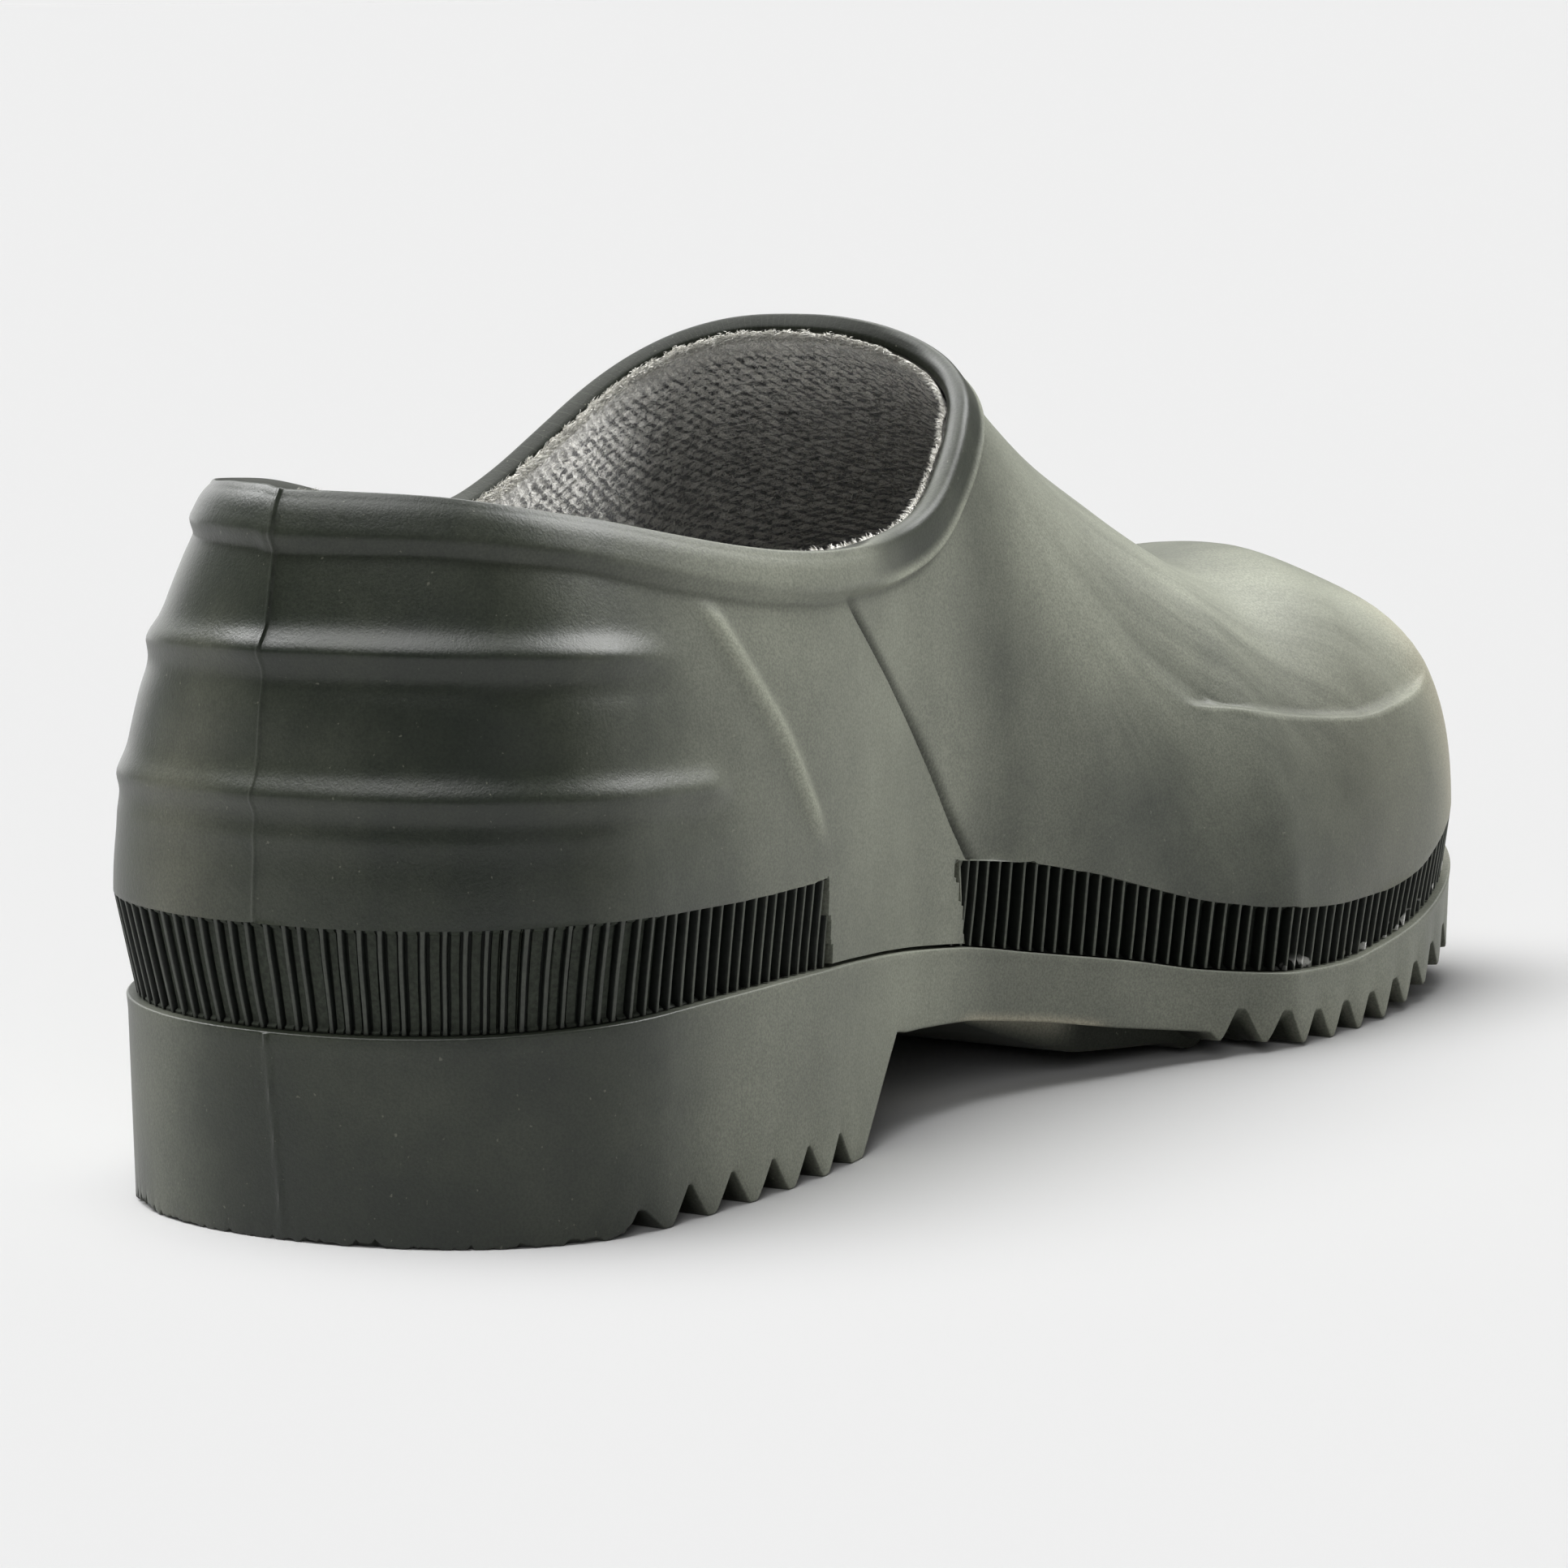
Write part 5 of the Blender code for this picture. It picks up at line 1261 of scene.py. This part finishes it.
def makeFootBed(material):
    # closed sections across the shoe: superellipses whose half-widths follow the outline
    cfg = bedSet
    t = closeEnds(cfg["stations"])
    half = upperLine["half"]
    ring = upperLine["p"] - upperLine["n"] * cfg["inset"]
    x = ring[0, 0] + (ring[half - 1, 0] - ring[0, 0]) * t
    right, left = [np.interp(x, edge[:, 0], edge[:, 1]) for edge in (ring[:half], ring[half - 1:][::-1])]
    a = np.linspace(0, 2 * np.pi, cfg["around"], endpoint=False)
    across, up = [signedPower(wave, power) for wave, power in zip((np.cos(a), np.sin(a)), cfg["square"])]
    ends = np.sqrt(np.clip(1 - (2 * t - 1) ** cfg["endPower"], cfg["endLeast"], 1))
    y = ((right + left) / 2)[:, None] + ((left - right) / 2)[:, None] * across
    middle = featherHeight(x) + cfg["low"] + cfg["tall"] / 2
    dish = cfg["dish"] * np.clip(up, 0, 1) * (1 - across ** 2)
    z = middle[:, None] + cfg["tall"] / 2 * up * ends[:, None] - dish
    flat = np.stack([np.repeat(x[:, None], len(a), 1), y, z], -1).reshape(-1, 3)
    rim = np.arange(len(a))
    faces = facedOut(flat, gridFaces(len(x), len(a), False, True)[0])
    faces += [rim[None, ::-1], (len(x) - 1) * len(a) + rim[None]]
    stitches = flat[:, [1, 0]] / [liningSet["wale"], liningSet["course"]]
    layers = {"edge": np.zeros(len(flat))}
    return makePiece("foot_bed", flat, faces, material, [stitches[f] for f in faces], layers,
                     cfg["smoothTo"])


footBed = makeFootBed(knit)
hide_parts("insole")

# Pale plain floor and a soft studio of light panels, as directions in the world
floorSet = {"half": 40.0, "tone": (0.80, 0.80, 0.80, 1)}
floorMesh = bpy.data.meshes.new("floor")
h = floorSet["half"]
floorMesh.from_pydata([(-h, -h, 0), (h, -h, 0), (h, h, 0), (-h, h, 0)], [], [(0, 1, 2, 3)])
floor = bpy.data.objects.new("floor", floorMesh)
bpy.context.scene.collection.objects.link(floor)
floorMaterial, floorTree, floorShader = startMaterial("pale_floor")
feed(floorTree, floorShader, {"Base Color": floorSet["tone"], "Roughness": 1.0, "Specular IOR Level": 0.0})
floorMesh.materials.append(floorMaterial)

studioSet = {
    "base": 0.06, "backdrop": (0.877, 0.877, 0.877, 1),
    # overhead panel: the way to it, cosine where it starts, cosine where it is full, brightness
    "overheadWay": (-0.22, 0.19, 0.957), "overhead": (0.80, 0.98, 6.05),
    # fill on the floor alone, from behind the camera: the way to it, strength, angle across
    "fillWay": (-0.83, -0.545, 0.45), "fillStrength": 0.6, "fillAngle": 0.5,
    # softboxes that light the shoe alone: direction, watts
    "softboxes": [((0.600, -0.290, 0.745), 20.5), ((0.591, 0.388, 0.707), 7.8),
                  ((-0.041, 0.706, 0.707), 19.4), ((0.440, 0.874, 0.208), 3.7), ((0.537, -0.818, 0.208), 1.2),
                  ((-0.440, -0.874, 0.208), 0.8), ((-0.660, -0.420, 0.620), 0.4)],
    # one more that lights the lining alone
    "liningBox": ((0.450, -0.450, 0.770), 34.0),
    "middle": (0.0, 0.0, 0.05), "distance": 1.5, "size": 0.9,
}


def lightGroup(name, pieces):
    group = bpy.data.collections.new(name)
    for piece in pieces:
        group.objects.link(piece)
    return group


def addLamp(name, kind, toward, lit, **settings):
    # a lamp that stands toward a direction, looks back along it and lights one group alone
    lamp = bpy.data.lights.new(name, kind)
    for key, value in settings.items():
        setattr(lamp, key, value)
    holder = bpy.data.objects.new(name, lamp)
    bpy.context.scene.collection.objects.link(holder)
    holder.rotation_euler = (-toward).to_track_quat("-Z", "Y").to_euler()
    holder.light_linking.receiver_collection = lit
    return holder


def makeStudio():
    # brightness of each direction: a base, plus the overhead panel faded in by the cosine to its middle
    cfg = studioSet
    world = bpy.data.worlds.new("studio")
    bpy.context.scene.world = world
    world.use_nodes = True
    tree = world.node_tree
    tree.nodes.clear()
    way = addNode(tree, "TexCoord").outputs["Generated"]
    toPanel = addNode(tree, "VectorMath", {0: way, 1: cfg["overheadWay"]}, operation="DOT_PRODUCT")
    start, full, bright = cfg["overhead"]
    panel = ranged(tree, toPanel.outputs["Value"], start, full, 0.0, bright)
    studio = addNode(tree, "Background", {"Strength": calc(tree, "ADD", panel, cfg["base"])})
    plain = addNode(tree, "Background", {"Color": cfg["backdrop"]})
    seen = addNode(tree, "LightPath").outputs["Is Camera Ray"]
    mix = addNode(tree, "MixShader", {0: seen, 1: studio.outputs[0], 2: plain.outputs[0]})
    addNode(tree, "OutputWorld", {"Surface": mix.outputs[0]})
    addLamp("floor_fill", "SUN", Vector(cfg["fillWay"]), lightGroup("floor_only", [floor]),
            energy=cfg["fillStrength"], angle=cfg["fillAngle"])
    liningOnly = lightGroup("lining_only", [knitLining, liningFibres, footBed])
    boxes = [(*box, shoePieces) for box in cfg["softboxes"]] + [(*cfg["liningBox"], liningOnly)]
    for k, (toward, watts, lit) in enumerate(boxes):
        toward = Vector(toward).normalized()
        box = addLamp(f"softbox_{k}", "AREA", toward, lit, shape="DISK", size=cfg["size"], energy=watts)
        box.location = Vector(cfg["middle"]) + toward * cfg["distance"]
        box.visible_camera = False


makeStudio()
bpy.context.scene.view_settings.view_transform = "Standard"
print("floor and studio set")
